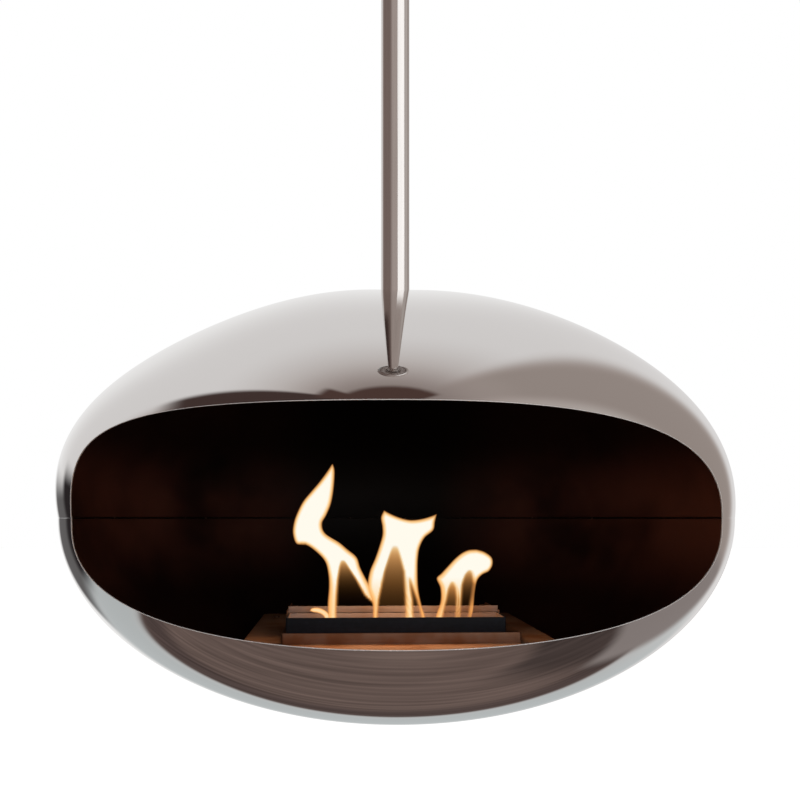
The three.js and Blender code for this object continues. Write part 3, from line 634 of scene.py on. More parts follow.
def shell_half(upper, settings):
    """One pressed half: outer wall, rounded lip, inner wall, and the flat edge at the seam."""
    columns = settings.columns
    rows = settings.rows
    edge = mouth_edge(upper, columns)
    outer_lip = onto_wall(edge, 0.0, upper)
    inner_lip = onto_wall(edge, WALL, upper)
    even = np.linspace(0, 1, rows)
    shares = 0.75 * even + 0.25 * even**2.2
    outer, outer_normal = swept_wall(outer_lip, 0.0, upper, shares)
    inner, inner_normal = swept_wall(inner_lip, WALL, upper, shares)
    inner_normal = -inner_normal

    # The lip: straight across the wall, with both corners eased.
    across = inner_lip - outer_lip
    wide = np.linalg.norm(across, axis=-1, keepdims=True)
    across = across / wide
    outwards = outer[1] - outer[0]
    outwards /= np.linalg.norm(outwards, axis=-1, keepdims=True)
    inwards = inner[1] - inner[0]
    inwards /= np.linalg.norm(inwards, axis=-1, keepdims=True)
    ease = min(settings.lip_round, 0.0014)
    small = 0.4 * ease
    outer_steps, inner_steps = 7, 4
    t = np.linspace(0, 1, outer_steps)[:, None, None]
    outer_curve = ((1 - t) ** 2 * (outer_lip + outwards * ease)
                   + 2 * t * (1 - t) * outer_lip + t**2 * (outer_lip + across * ease))
    t = np.linspace(0, 1, inner_steps)[:, None, None]
    inner_curve = ((1 - t) ** 2 * (inner_lip - across * small)
                   + 2 * t * (1 - t) * inner_lip + t**2 * (inner_lip + inwards * small))
    side = np.cross(np.gradient(outer_lip, axis=0), across)
    side /= np.linalg.norm(side, axis=-1, keepdims=True) + 1e-12
    opening = np.array([MOUTH_CENTRE[0], 0, MOUTH_CENTRE[1]])
    side *= np.sign(np.sum(side * (opening - outer_lip), axis=-1, keepdims=True))

    def turning(first, last, count):
        s = np.linspace(0, 1, count)[:, None, None]
        blend = (1 - s) * first + s * last
        return blend / np.linalg.norm(blend, axis=-1, keepdims=True)

    points = np.concatenate([outer[::-1][:-1], outer_curve, inner_curve, inner[1:]])
    normals = np.concatenate([
        outer_normal[::-1][:-1], turning(outer_normal[0], side, outer_steps),
        turning(side, inner_normal[0], inner_steps), inner_normal[1:],
    ])
    outer_rows = rows - 1
    lip_rows = outer_steps + inner_steps

    # The groove: the outer corner at the seam is drawn in a little and its normal tilted, both
    # fading out where the rows close at the back.
    depth, tilt, fade = 0.0003, 0.3, 0.012
    drawn = slice(0, outer_rows + 3)
    level = np.array([0.0, 0.0, -tilt if upper else tilt])
    kept_back = np.concatenate([shares[::-1][:outer_rows], np.zeros(3)])
    strength = np.clip((1 - kept_back) / fade, 0, 1)[:, None]
    for column in (0, -1):
        points[drawn, column] -= normals[drawn, column] * depth * strength
        tilted = normals[drawn, column] + level * strength
        normals[drawn, column] = tilted / np.linalg.norm(tilted, axis=-1, keepdims=True)

    # The first and the last row are single points at the back, with fans of triangles.
    total = len(points)
    index = np.arange(total * columns).reshape(total, columns) - columns + 1
    index[0] = 0
    index[-1] = (total - 2) * columns + 1
    cells = index.ravel()[grid_faces(total, columns)]
    if upper:
        cells = cells[:, ::-1]
    row_of = np.repeat(np.arange(total - 1), columns - 1)
    slots = np.where(row_of < outer_rows, 0, np.where(row_of < outer_rows + lip_rows - 2, 1, 2))
    first, last = row_of == 0, row_of == total - 2
    ends = cells[first | last]
    doubled = ends == np.roll(ends, 1, axis=1)
    fans = ends[~doubled].reshape(-1, 3)

    # The flat edge at the seam joins the outer and the inner wall's last columns.
    outside = np.arange(outer_rows)
    inside = total - 1 - np.arange(outer_rows)
    piece = Piece()
    flat_points = np.vstack([points[0, :1], points[1:-1].reshape(-1, 3), points[-1, :1]])
    flat_normals = np.vstack([normals[0, :1], normals[1:-1].reshape(-1, 3), normals[-1, :1]])
    between = ~(first | last)
    piece.add(flat_points + [0, 0, SEAM], [cells[between], fans])
    piece.slots = [slots[between], slots[~between]]
    for column in (0, columns - 1):
        a = index[outside, column]
        b = index[inside, column]
        strip = np.stack([a[:-1], a[1:], b[1:], b[:-1]], axis=-1)
        middle = index[outer_rows - 1:total - outer_rows + 1, column]
        if (column == 0) == upper:
            strip = strip[:, ::-1]
            middle = middle[::-1]
        piece.faces += [strip, middle[None, :]]
        piece.slots += [np.full(len(strip), 1), np.full(1, 1)]
    return piece, flat_normals


def polished_steel(settings):
    """Mirror-polished steel: a very fine haze, and a waviness that is only just there."""
    material, tree, shader = new_material("Polished Steel")
    shader.inputs["Metallic"].default_value = 1.0
    marks = place_group(tree, handling_marks(), Scale=5.0, Amount=0.022)
    rough = math_node(tree, "ADD", marks.outputs["Mask"], settings.steel_roughness)
    tree.links.new(rough, shader.inputs["Roughness"])
    steel = tuple(settings.steel)
    toned = link_mix(
        tree, mix_node(tree), steel, tuple(0.9 * c for c in steel), marks.outputs["Mask"]
    )
    tree.links.new(toned, shader.inputs["Base Color"])
    wave = noise(tree, object_coordinates(tree), 3.2, 1.0)
    bump(tree, shader, wave, 0.10, 0.003)
    return material


def cut_edge():
    """The polished edge of the sheet round the mouth."""
    return metal(
        "Cut Edge", (0.97, 0.945, 0.94), 0.24, marks=0.05, mark_scale=30.0, metallic=0.35
    )


def satin_lining(settings):
    """Heat-proof black coating with a low sheen, and a painted warm glow of the flames' light
    in soft clouds that keep to the sides and to the seam's height."""
    material, tree, shader = new_material("Satin Lining")
    place = object_coordinates(tree)
    split = tree.nodes.new("ShaderNodeSeparateXYZ")
    tree.links.new(place, split.inputs[0])
    aside = map_range(tree, math_node(tree, "ABSOLUTE", split.outputs["X"]), 0.10, 0.34)
    clouds = map_range(tree, noise(tree, place, 4.0, 3.0), 0.18, 0.62)
    off_seam = math_node(tree, "ABSOLUTE", math_node(tree, "SUBTRACT", split.outputs["Z"], SEAM))
    near_seam = map_range(tree, off_seam, 0.02, 0.17, 1.0, 0.12)
    clouds = math_node(tree, "MULTIPLY", clouds, aside)
    clouds = math_node(tree, "MULTIPLY", clouds, near_seam)
    base = tuple(settings.lining)
    # Painted glow: the flames' warm light is painted into the lining as brown-red clouds, at the
    # sides and near the seam.
    painted_flame_glow = (base[0] * 30.0, base[1] * 19.0, base[2] * 14.0)
    toned = link_mix(tree, mix_node(tree), base, painted_flame_glow, clouds)
    tree.links.new(toned, shader.inputs["Base Color"])
    rough = math_node(
        tree, "ADD", math_node(tree, "MULTIPLY", clouds, 0.10), settings.lining_roughness
    )
    tree.links.new(rough, shader.inputs["Roughness"])
    shader.inputs["Specular IOR Level"].default_value = 0.22
    bump(tree, shader, noise(tree, place, 900.0, 2.0), 0.10, 0.0002)
    return material


# ---------------------------------------------------------------- operators

class HearthOperator:
    """What the operators share."""

    bl_options = {"REGISTER", "UNDO"}


class HEARTH_OT_shells(HearthOperator, bpy.types.Operator):
    """Make the two pressed shell halves"""

    bl_idname = "hearth.shells"
    bl_label = "Shells"

    def execute(self, context):
        settings = context.scene.hearth_pod
        materials = [polished_steel(settings), cut_edge(), satin_lining(settings)]
        for upper, node in ((True, "upper_shell"), (False, "lower_shell")):
            grid, normals = shell_half(upper, settings)
            piece = grid.finish(f"{node}_skin", materials, 180)
            piece.data.normals_split_custom_set_from_vertices(normals)
            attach(piece, "pod")
            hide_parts(node)
        return {"FINISHED"}


def seat_on_pod(outline, inset=0.0):
    """Height of the pod's top under each (x, y), by scaling the ray until it meets the wall."""
    x, y = outline[..., 0], outline[..., 1]
    z = np.full_like(x, RISE)
    for _ in range(12):
        spot = np.stack([x, y, z], axis=-1)
        z = pod_point(spot, inset, True)[..., 2]
    return z + SEAM


class HEARTH_OT_weld(HearthOperator, bpy.types.Operator):
    """Make the weld bead behind the seam"""

    bl_idname = "hearth.weld"
    bl_label = "Seam Weld"

    def execute(self, context):
        inset = WALL + CLEARANCE + 0.002
        azimuth = np.linspace(-0.5 * np.pi, 1.5 * np.pi, 1441)[1:-1]
        around = np.stack([np.cos(azimuth), np.sin(azimuth), 0 * azimuth], axis=-1)
        path = pod_point(around, inset, True)
        left, right = MOUTH_CENTRE[0] - MOUTH_LEFT, MOUTH_CENTRE[0] + MOUTH_RIGHT
        free = (path[:, 1] > 0) | (path[:, 0] < left - 0.004) | (path[:, 0] > right + 0.004)
        azimuth, path, around = azimuth[free], path[free], around[free]
        random = np.random.default_rng(7)
        travelled = np.arange(len(path)) / len(path)
        ripple = 0.00018 * np.sin(travelled * 1400) + random.normal(0, 0.00009, len(path))
        radius = 0.00175 + ripple
        radius[[0, -1]] = 0.0004
        sides = 10
        turn = np.linspace(0, 2 * np.pi, sides, endpoint=False)
        rows = (path[:, None] + around[:, None] * (radius[:, None] * np.cos(turn))[..., None]
                + np.array([0, 0, 1.0]) * (radius[:, None] * np.sin(turn))[..., None])
        faces = [grid_faces(len(path), sides, False, True)[:, ::-1]]
        first_end = np.arange(sides)[None, :]
        ends = [first_end, first_end[:, ::-1] + sides * (len(path) - 1)]
        bead = Piece().add(rows + [0, 0, SEAM], faces + ends)
        material, tree, shader = new_material("Weld Bead")
        place = object_coordinates(tree)
        bright = map_range(tree, noise(tree, place, 160.0, 2.0), 0.66, 0.74)
        shade = link_mix(tree, mix_node(tree), (0.008, 0.006, 0.006), (0.40, 0.30, 0.26), bright)
        tree.links.new(shade, shader.inputs["Base Color"])
        tree.links.new(bright, shader.inputs["Metallic"])
        shader.inputs["Roughness"].default_value = 0.35
        bump(tree, shader, noise(tree, place, 420.0, 2.0), 0.4, 0.0006)
        piece = bead.finish("seam_weld_bead", [material], 180)
        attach(piece, "pod")
        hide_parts("seam_weld")
        return {"FINISHED"}


# ---------------------------------------------------------------- pole and ceiling fitting

def outline_of(node):
    low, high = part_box(node)
    return np.array(low), np.array(high)


def brushed_steel(settings, name="Brushed Pole", stretch=(700.0, 700.0, 5.0), duller=0.0):
    """Steel brushed along its length."""
    return metal(
        name, tuple(settings.steel), settings.roughness + duller, stretch, 0.34, 0.05, 12.0,
        0.00012,
    )


class HEARTH_OT_pole(HearthOperator, bpy.types.Operator):
    """Make the pole, its collar and plug, and the stem above them"""

    bl_idname = "hearth.pole"
    bl_label = "Pole"

    def execute(self, context):
        settings = context.scene.hearth_pole
        brushed = brushed_steel(settings)
        turned = brushed_steel(settings, "Turned Steel", (60.0, 60.0, 1400.0))
        edge = settings.edge

        # The tube, its foot shaped to the pod: rows of one circle at a share of its height.
        columns = 144
        angle = np.linspace(0, 2 * np.pi, columns, endpoint=False)
        circle = np.stack([np.cos(angle), np.sin(angle)], axis=-1)
        bore = POLE_RADIUS - 0.002
        foot_out = seat_on_pod(circle * POLE_RADIUS) + CLEARANCE
        foot_in = seat_on_pod(circle * bore) + CLEARANCE
        top = POLE_TOP
        small = 0.0006
        rows = [
            (POLE_RADIUS - small, foot_out), (POLE_RADIUS, foot_out + small),
            (POLE_RADIUS, foot_out + 0.02), (POLE_RADIUS, foot_out * 0 + top - 0.02),
            (POLE_RADIUS, foot_out * 0 + top - small), (POLE_RADIUS - small, foot_out * 0 + top),
            (bore, foot_out * 0 + top), (bore, foot_in),
        ]
        points = np.stack([
            np.concatenate([circle * radius, level[:, None]], axis=1) for radius, level in rows
        ])
        tube = Piece().add(points, [grid_faces(len(rows), columns, True, True)])
        piece = tube.finish("pole_tube", [brushed], 35)
        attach(piece, "pod")
        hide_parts("pole")

        low, high = outline_of("pole_collar")
        outer, inner = high[0], POLE_RADIUS + CLEARANCE
        profile = eased(
            [(inner, low[2]), (outer, low[2]), (outer, high[2]), (inner, high[2])],
            [0.0003, 2 * edge, 2 * edge, 0.0003],
        )
        piece = Piece().turned(profile, 120).finish("collar_sleeve", [turned], 50)
        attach(piece, "pod")
        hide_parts("pole_collar")

        low, high = outline_of("pole_top_plug")
        face = high[2]
        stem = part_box("swivel_stem")[1].x
        bored = stem + CLEARANCE
        plug = bore - CLEARANCE
        profile = eased(
            [
                (bored, low[2]), (plug, low[2]), (plug, POLE_TOP), (POLE_RADIUS, POLE_TOP),
                (POLE_RADIUS, face), (bored, face),
            ],
            [0.0003, 0.001, 0.0002, 0.0003, 1.5 * edge, 0.0004],
        )
        piece = Piece().turned(profile, 120).finish("plug_turned", [turned], 50)
        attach(piece, "pod")
        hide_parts("pole_top_plug")

        low, high = outline_of("swivel_stem")
        chamfer = 0.0012
        profile = [
            (0, low[2]), (stem - chamfer, low[2]), (stem, low[2] + chamfer),
            (stem, -0.060), (stem - 0.0006, -0.0606), (stem - 0.0006, -0.0621), (stem, -0.0627),
            (stem, high[2] - chamfer), (stem - chamfer, high[2]), (0, high[2]),
        ]
        piece = Piece().turned(profile, 96).finish("stem_turned", [turned], 40)
        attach(piece, "pod")
        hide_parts("swivel_stem")
        return {"FINISHED"}


class HEARTH_OT_canopy(HearthOperator, bpy.types.Operator):
    """Make the pressed canopy under the ceiling"""

    bl_idname = "hearth.canopy"
    bl_label = "Canopy"

    def execute(self, context):
        settings = context.scene.hearth_pole
        spun = brushed_steel(settings, "Spun Steel", (90.0, 90.0, 900.0), 0.24)
        low, high = outline_of("ceiling_canopy")
        radius, bottom, rim = high[0], low[2], high[2]
        corner, wall = 0.022, 0.0015
        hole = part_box("swivel_stem")[1].x + 0.003
        bend = np.linspace(0, np.pi / 2, 25)

        def rounded(size):
            out = radius - corner + size * np.cos(bend)
            return np.stack([out, bottom + corner - size * np.sin(bend)], axis=-1)

        outer = rounded(corner)
        inner = rounded(corner - wall)
        fold = np.array([
            (hole + 0.0008, bottom), (hole, bottom + 0.0006), (hole, bottom + wall),
        ])
        profile = np.vstack([
            inner[::-1], [(radius - wall, rim)], [(radius - 0.0004, rim), (radius, rim - 0.0004)],
            outer, fold,
        ])[::-1]
        cover = Piece().turned(profile, 144)
        piece = cover.finish("canopy_cover", [spun], 40)
        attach(piece, "ceiling_mount")
        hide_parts("ceiling_canopy")
        return {"FINISHED"}


# ---------------------------------------------------------------- screws

def socket_screw(piece, place, head_radius, head_height, flats, axis, shank_radius,
                 shank_length):
    """Screw with a hexagonal recess, along an axis: rows of circles, and of a hexagon whose
    radius is (flats / 2) / cos(a), a being the angle from the middle of its side."""
    columns = 48
    angle = np.linspace(0, 2 * np.pi, columns, endpoint=False)
    from_side = np.mod(angle + np.pi / 6, np.pi / 3) - np.pi / 6
    hexagon = (flats / 2) / np.cos(from_side)
    circle = np.ones(columns)
    crown = head_height
    ease = 0.18 * head_height
    rows = [
        (circle * shank_radius * 0.8, -shank_length),
        (circle * shank_radius, -shank_length + 0.2 * shank_radius), (circle * shank_radius, 0),
        (circle * (head_radius - 0.3 * ease), 0), (circle * head_radius, 0.3 * ease),
        (circle * head_radius, crown - ease),
        (circle * (head_radius - 0.4 * ease), crown - 0.35 * ease),
        (circle * (head_radius - ease), crown), (circle * (0.62 * flats), crown),
        (hexagon, crown - 0.1 * ease), (hexagon, 0.42 * crown),
        (circle * 0.1 * flats, 0.30 * crown),
    ]
    points = np.stack([
        np.stack([radius * np.cos(angle), radius * np.sin(angle), 0 * angle + level], axis=-1)
        for radius, level in rows
    ])
    up = np.asarray(axis, float)
    side = np.cross(up, [0.0, 1.0, 0.0] if abs(up[1]) < 0.9 else [1.0, 0.0, 0.0])
    side /= np.linalg.norm(side)
    frame_axes = np.stack([side, np.cross(up, side), up])
    points = points @ frame_axes + np.asarray(place)
    faces = [grid_faces(len(rows), columns, False, True)]
    return piece.add(points, faces + both_ends(len(rows), columns))


def zinc():
    name = "Zinc Plate"
    if name in bpy.data.materials:
        return bpy.data.materials[name]
    return metal(name, (0.66, 0.67, 0.68), 0.32, None, 0.0, 0.22, 60.0, tint=(0.58, 0.57, 0.50))


def warmed_zinc():
    name = "Warmed Zinc"
    if name in bpy.data.materials:
        return bpy.data.materials[name]
    return metal(name, (0.20, 0.12, 0.08), 0.45, None, 0.0, 0.3, 60.0, tint=(0.10, 0.06, 0.04))


class HEARTH_OT_screws(HearthOperator, bpy.types.Operator):
    """Make the screws that show: on the canopy and on the platform"""

    bl_idname = "hearth.screws"
    bl_label = "Screws"

    def execute(self, context):
        for side, node in ((-1, "canopy_screw_left"), (1, "canopy_screw_right")):
            low, high = outline_of(node)
            middle = (low + high) / 2
            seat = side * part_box("ceiling_canopy")[1].x
            head = Piece()
            socket_screw(
                head, (seat, middle[1], middle[2]), 0.0035, 0.0015, 0.0022, (side, 0, 0),
                0.002, 0.011,
            )
            piece = head.finish(f"{node}_head", [zinc()], 35)
            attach(piece, "ceiling_mount")
            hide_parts(node)
        for index in range(1, 5):
            node = f"platform_screw_{index}"
            low, high = outline_of(node)
            middle = (low + high) / 2
            head = Piece()
            socket_screw(
                head, (middle[0], middle[1], high[2] - 0.0033), 0.00525, 0.0033, 0.004,
                (0, 0, 1), 0.003, 0.0175,
            )
            piece = head.finish(f"{node}_head", [warmed_zinc()], 35)
            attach(piece, "pod")
            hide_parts(node)
        return {"FINISHED"}


# ---------------------------------------------------------------- platform

def bowl_ends(section, limit):
    """How far forward and back each (x, z) may lie inside the bowl, found by halving."""
    ends = []
    for side in (-1.0, 1.0):
        near = np.zeros(len(section))
        far = np.full(len(section), limit)
        for _ in range(40):
            middle = (near + far) / 2
            spot = np.stack([section[:, 0], side * middle, section[:, 1]], axis=-1)
            wall = np.linalg.norm(pod_point(spot, WALL + CLEARANCE, False), axis=-1)
            inside = np.linalg.norm(spot, axis=-1) < wall
            near = np.where(inside, middle, near)
            far = np.where(inside, far, middle)
        ends.append(side * near)
    return ends


def warmed_steel(name, base, roughness, grain, metallic=1.0):
    """Brushed steel with straw and brown heat colours in soft clouds."""
    return metal(
        name, base, roughness, grain, 0.42, 0.12, 9.0, 0.0001, metallic,
        tint=(base[0] * 0.80, base[1] * 0.60, base[2] * 0.42),
    )


class HEARTH_OT_platform(HearthOperator, bpy.types.Operator):
    """Make the burner platform and its four posts"""

    bl_idname = "hearth.platform"
    bl_label = "Platform"

    def execute(self, context):
        settings = context.scene.hearth_burner
        low, high = outline_of("burner_platform")
        top = high[2] - SEAM
        half, sheet, fold = high[0], 0.003, 0.020
        tank_low, tank_high = outline_of("burner_tank")
        gap = 0.0025
        hole_x = (tank_low[0] + TANK_LIP - gap, tank_high[0] - TANK_LIP + gap)
        hole_y = (tank_low[1] + TANK_LIP - gap, tank_high[1] - TANK_LIP + gap)

        # The section across: a sheet with both edges folded down, its bends eased.
        bend = np.linspace(0, np.pi / 2, 6)
        turning = np.stack([np.sin(bend), np.cos(bend)], -1)
        centre = np.array([half - 0.004, top - 0.004])
        outer_bend, inner_bend = centre + 0.004 * turning, centre + 0.001 * turning
        across = np.concatenate([
            np.linspace(0, hole_x[1], 8)[1:-1], [hole_x[1]],
            np.linspace(hole_x[1], half - 0.004, 5)[1:-1],
        ])
        left_across = np.concatenate([
            np.linspace(-half + 0.004, hole_x[0], 5)[1:-1], [hole_x[0]],
            np.linspace(hole_x[0], 0, 8)[1:-1],
        ])
        flat = np.concatenate([left_across, [0.0], across])
        mirror = np.array([-1.0, 1.0])
        upper_side = np.vstack([
            [(-half, top - fold)], (outer_bend * mirror)[::-1],
            np.stack([flat, np.full(len(flat), top)], -1),
            outer_bend, [(half, top - fold)],
        ])
        under_side = np.vstack([
            [(-half + sheet, top - fold)], (inner_bend * mirror)[::-1],
            np.stack([flat, np.full(len(flat), top - sheet)], -1),
            inner_bend, [(half - sheet, top - fold)],
        ])
        section = np.vstack([upper_side, under_side[::-1]])
        count = len(section)
        front, back = bowl_ends(section, high[1])
        hole_first, hole_last = 11, 14  # rows that run along the hole's front and back
        first = np.linspace(0, 1, hole_first + 1)[:, None]
        last = np.linspace(0, 1, 14)[:, None]
        middle = np.linspace(0, 1, 4)[1:-1, None]
        stations = np.concatenate([
            front + (hole_y[0] - front) * first,
            hole_y[0] + (hole_y[1] - hole_y[0]) * middle + 0 * front,
            hole_y[1] + (back - hole_y[1]) * last,
        ])
        rows = len(stations)
        points = np.stack([
            np.broadcast_to(section[:, 0], stations.shape), stations,
            np.broadcast_to(section[:, 1], stations.shape) + SEAM,
        ], axis=-1)
        faces = grid_faces(rows, count, False, True)
        row_of = np.repeat(np.arange(rows - 1), count)
        column_of = np.tile(np.arange(count), rows - 1)
        centre_x = (section[column_of, 0] + section[(column_of + 1) % count, 0]) / 2
        same_level = np.abs(section[column_of, 1] - section[(column_of + 1) % count, 1]) < 1e-9
        in_hole = ((row_of >= hole_first) & (row_of < hole_last) & same_level
                   & (centre_x > hole_x[0]) & (centre_x < hole_x[1])
                   & (np.abs(section[column_of, 1] - top) < 0.0035))
        kept = faces[~in_hole]
        upper_column = np.where((np.abs(section[:, 1] - top) < 1e-9)
                                & (section[:, 0] >= hole_x[0] - 1e-9)
                                & (section[:, 0] <= hole_x[1] + 1e-9))[0]
        partner = count - 1 - upper_column
        line = np.arange(hole_first, hole_last + 1) * count
        walls = []
        for a, b, turn in (
            (line[0] + upper_column, line[0] + partner, False),
            (line[-1] + upper_column, line[-1] + partner, True),
            (line + upper_column[0], line + partner[0], True),
            (line + upper_column[-1], line + partner[-1], False),
        ):
            wall = np.stack([a[:-1], a[1:], b[1:], b[:-1]], axis=-1)
            walls.append(wall[:, ::-1] if turn else wall)
        sheet_piece = Piece().add(points, [kept] + walls + both_ends(rows, count))
        steel = warmed_steel(
            "Platform Steel", tuple(settings.platform), 0.46, (14.0, 600.0, 600.0), 0.55
        )
        piece = sheet_piece.finish("platform_sheet", [steel], 35)
        recalculated(piece)
        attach(piece, "pod")
        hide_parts("burner_platform")

        dark = metal("Dark Post", (0.055, 0.05, 0.048), 0.42, (90.0, 90.0, 500.0), 0.4, 0.1,
                     20.0, metallic=0.8)
        for index in range(1, 5):
            low, high = outline_of(f"platform_post_{index}")
            centre = (low + high) / 2
            post = self.post(centre[0], centre[1], high[2])
            piece = post.finish(f"platform_post_{index}_turned", [dark], 35)
            recalculated(piece)
            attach(piece, "pod")
            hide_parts(f"platform_post_{index}")
        return {"FINISHED"}

    def post(self, x, y, top):
        """A round post on a pad: each row is a circle, and the pad's rows lie on the bowl."""
        columns = 48
        angle = np.linspace(0, 2 * np.pi, columns, endpoint=False)
        circle = np.stack([np.cos(angle), np.sin(angle)], axis=-1)

        def bowl_level(radius, lift):
            spot = circle * radius + [x, y]
            z = np.full(len(spot), -0.2)
            for _ in range(40):
                ray = np.stack([spot[:, 0], spot[:, 1], z], axis=-1)
                reached = pod_point(ray, WALL + CLEARANCE, False)
                share = np.linalg.norm(reached, axis=-1) / np.linalg.norm(ray, axis=-1)
                z = z * (1 + 0.9 * (share - 1))
            return z + lift + SEAM

        rod, pad = 0.008, 0.018
        rows = [
            (0.002, bowl_level(0.002, 0)), (pad - 0.0008, bowl_level(pad - 0.0008, 0)),
            (pad, bowl_level(pad, 0.0008)), (pad, bowl_level(pad, 0.0042)),
            (pad - 0.0008, bowl_level(pad - 0.0008, 0.005)),
            (rod + 0.0016, bowl_level(rod + 0.0016, 0.005)),
            (rod + 0.0004, bowl_level(rod + 0.0004, 0.0058)),
            (rod, bowl_level(rod, 0.0074)), (rod, np.full(columns, top - 0.0006)),
            (rod - 0.0006, np.full(columns, top)), (0.002, np.full(columns, top)),
        ]
        points = np.stack([
            np.concatenate([circle * radius + [x, y], level[:, None]], axis=1)
            for radius, level in rows
        ])
        faces = [grid_faces(len(rows), columns, False, True)] + both_ends(len(rows), columns)
        return Piece().add(points, faces)


def recalculated(piece):
    """Turns every face of a closed piece outwards."""
    mesh = bmesh.new()
    mesh.from_mesh(piece.data)
    bmesh.ops.recalc_face_normals(mesh, faces=mesh.faces)
    mesh.to_mesh(piece.data)
    mesh.free()


# ---------------------------------------------------------------- burner

def rectangle(low, high, corner, steps=4):
    """Rounded rectangle, counter-clockwise, with the same number of points for any corner."""
    corners = [(low[0], low[1]), (high[0], low[1]), (high[0], high[1]), (low[0], high[1])]
    return eased(corners, max(corner, 1e-5), steps)


def ringed(piece, rows, joined):
    """Outlines with their levels, skinned in order: joined up in a ring, or capped."""
    points = np.stack([
        np.concatenate([outline, np.full((len(outline), 1), level)], axis=1)
        for outline, level in rows
    ])
    count = points.shape[1]
    faces = [grid_faces(len(rows), count, joined, True)]
    if not joined:
        faces += both_ends(len(rows), count)
    return piece.add(points, faces)


def grown(box, amount):
    low, high = np.asarray(box[0], float), np.asarray(box[1], float)
    return low - amount, high + amount


def tray_rows(box, levels, inner, wall, corner=0.004):
    """Rows of a thin-walled form, from its outer foot over the top and down inside."""
    bottom, top = levels
    rows = [
        (rectangle(*box, corner), bottom),
        (rectangle(*box, corner), top - 0.0016),
        (rectangle(*grown(box, -0.0003), corner), top - 0.0007),
        (rectangle(*grown(box, -0.0009), corner), top - 0.0001),
        (rectangle(*grown(box, -0.0018), corner), top),
    ]
    return rows + [
        (rectangle(*inner, 0.002), top), (rectangle(*inner, 0.002), top - wall),
        (rectangle(*grown(box, -wall), corner - wall / 2), top - wall),
        (rectangle(*grown(box, -wall), corner - wall / 2), bottom),
    ]


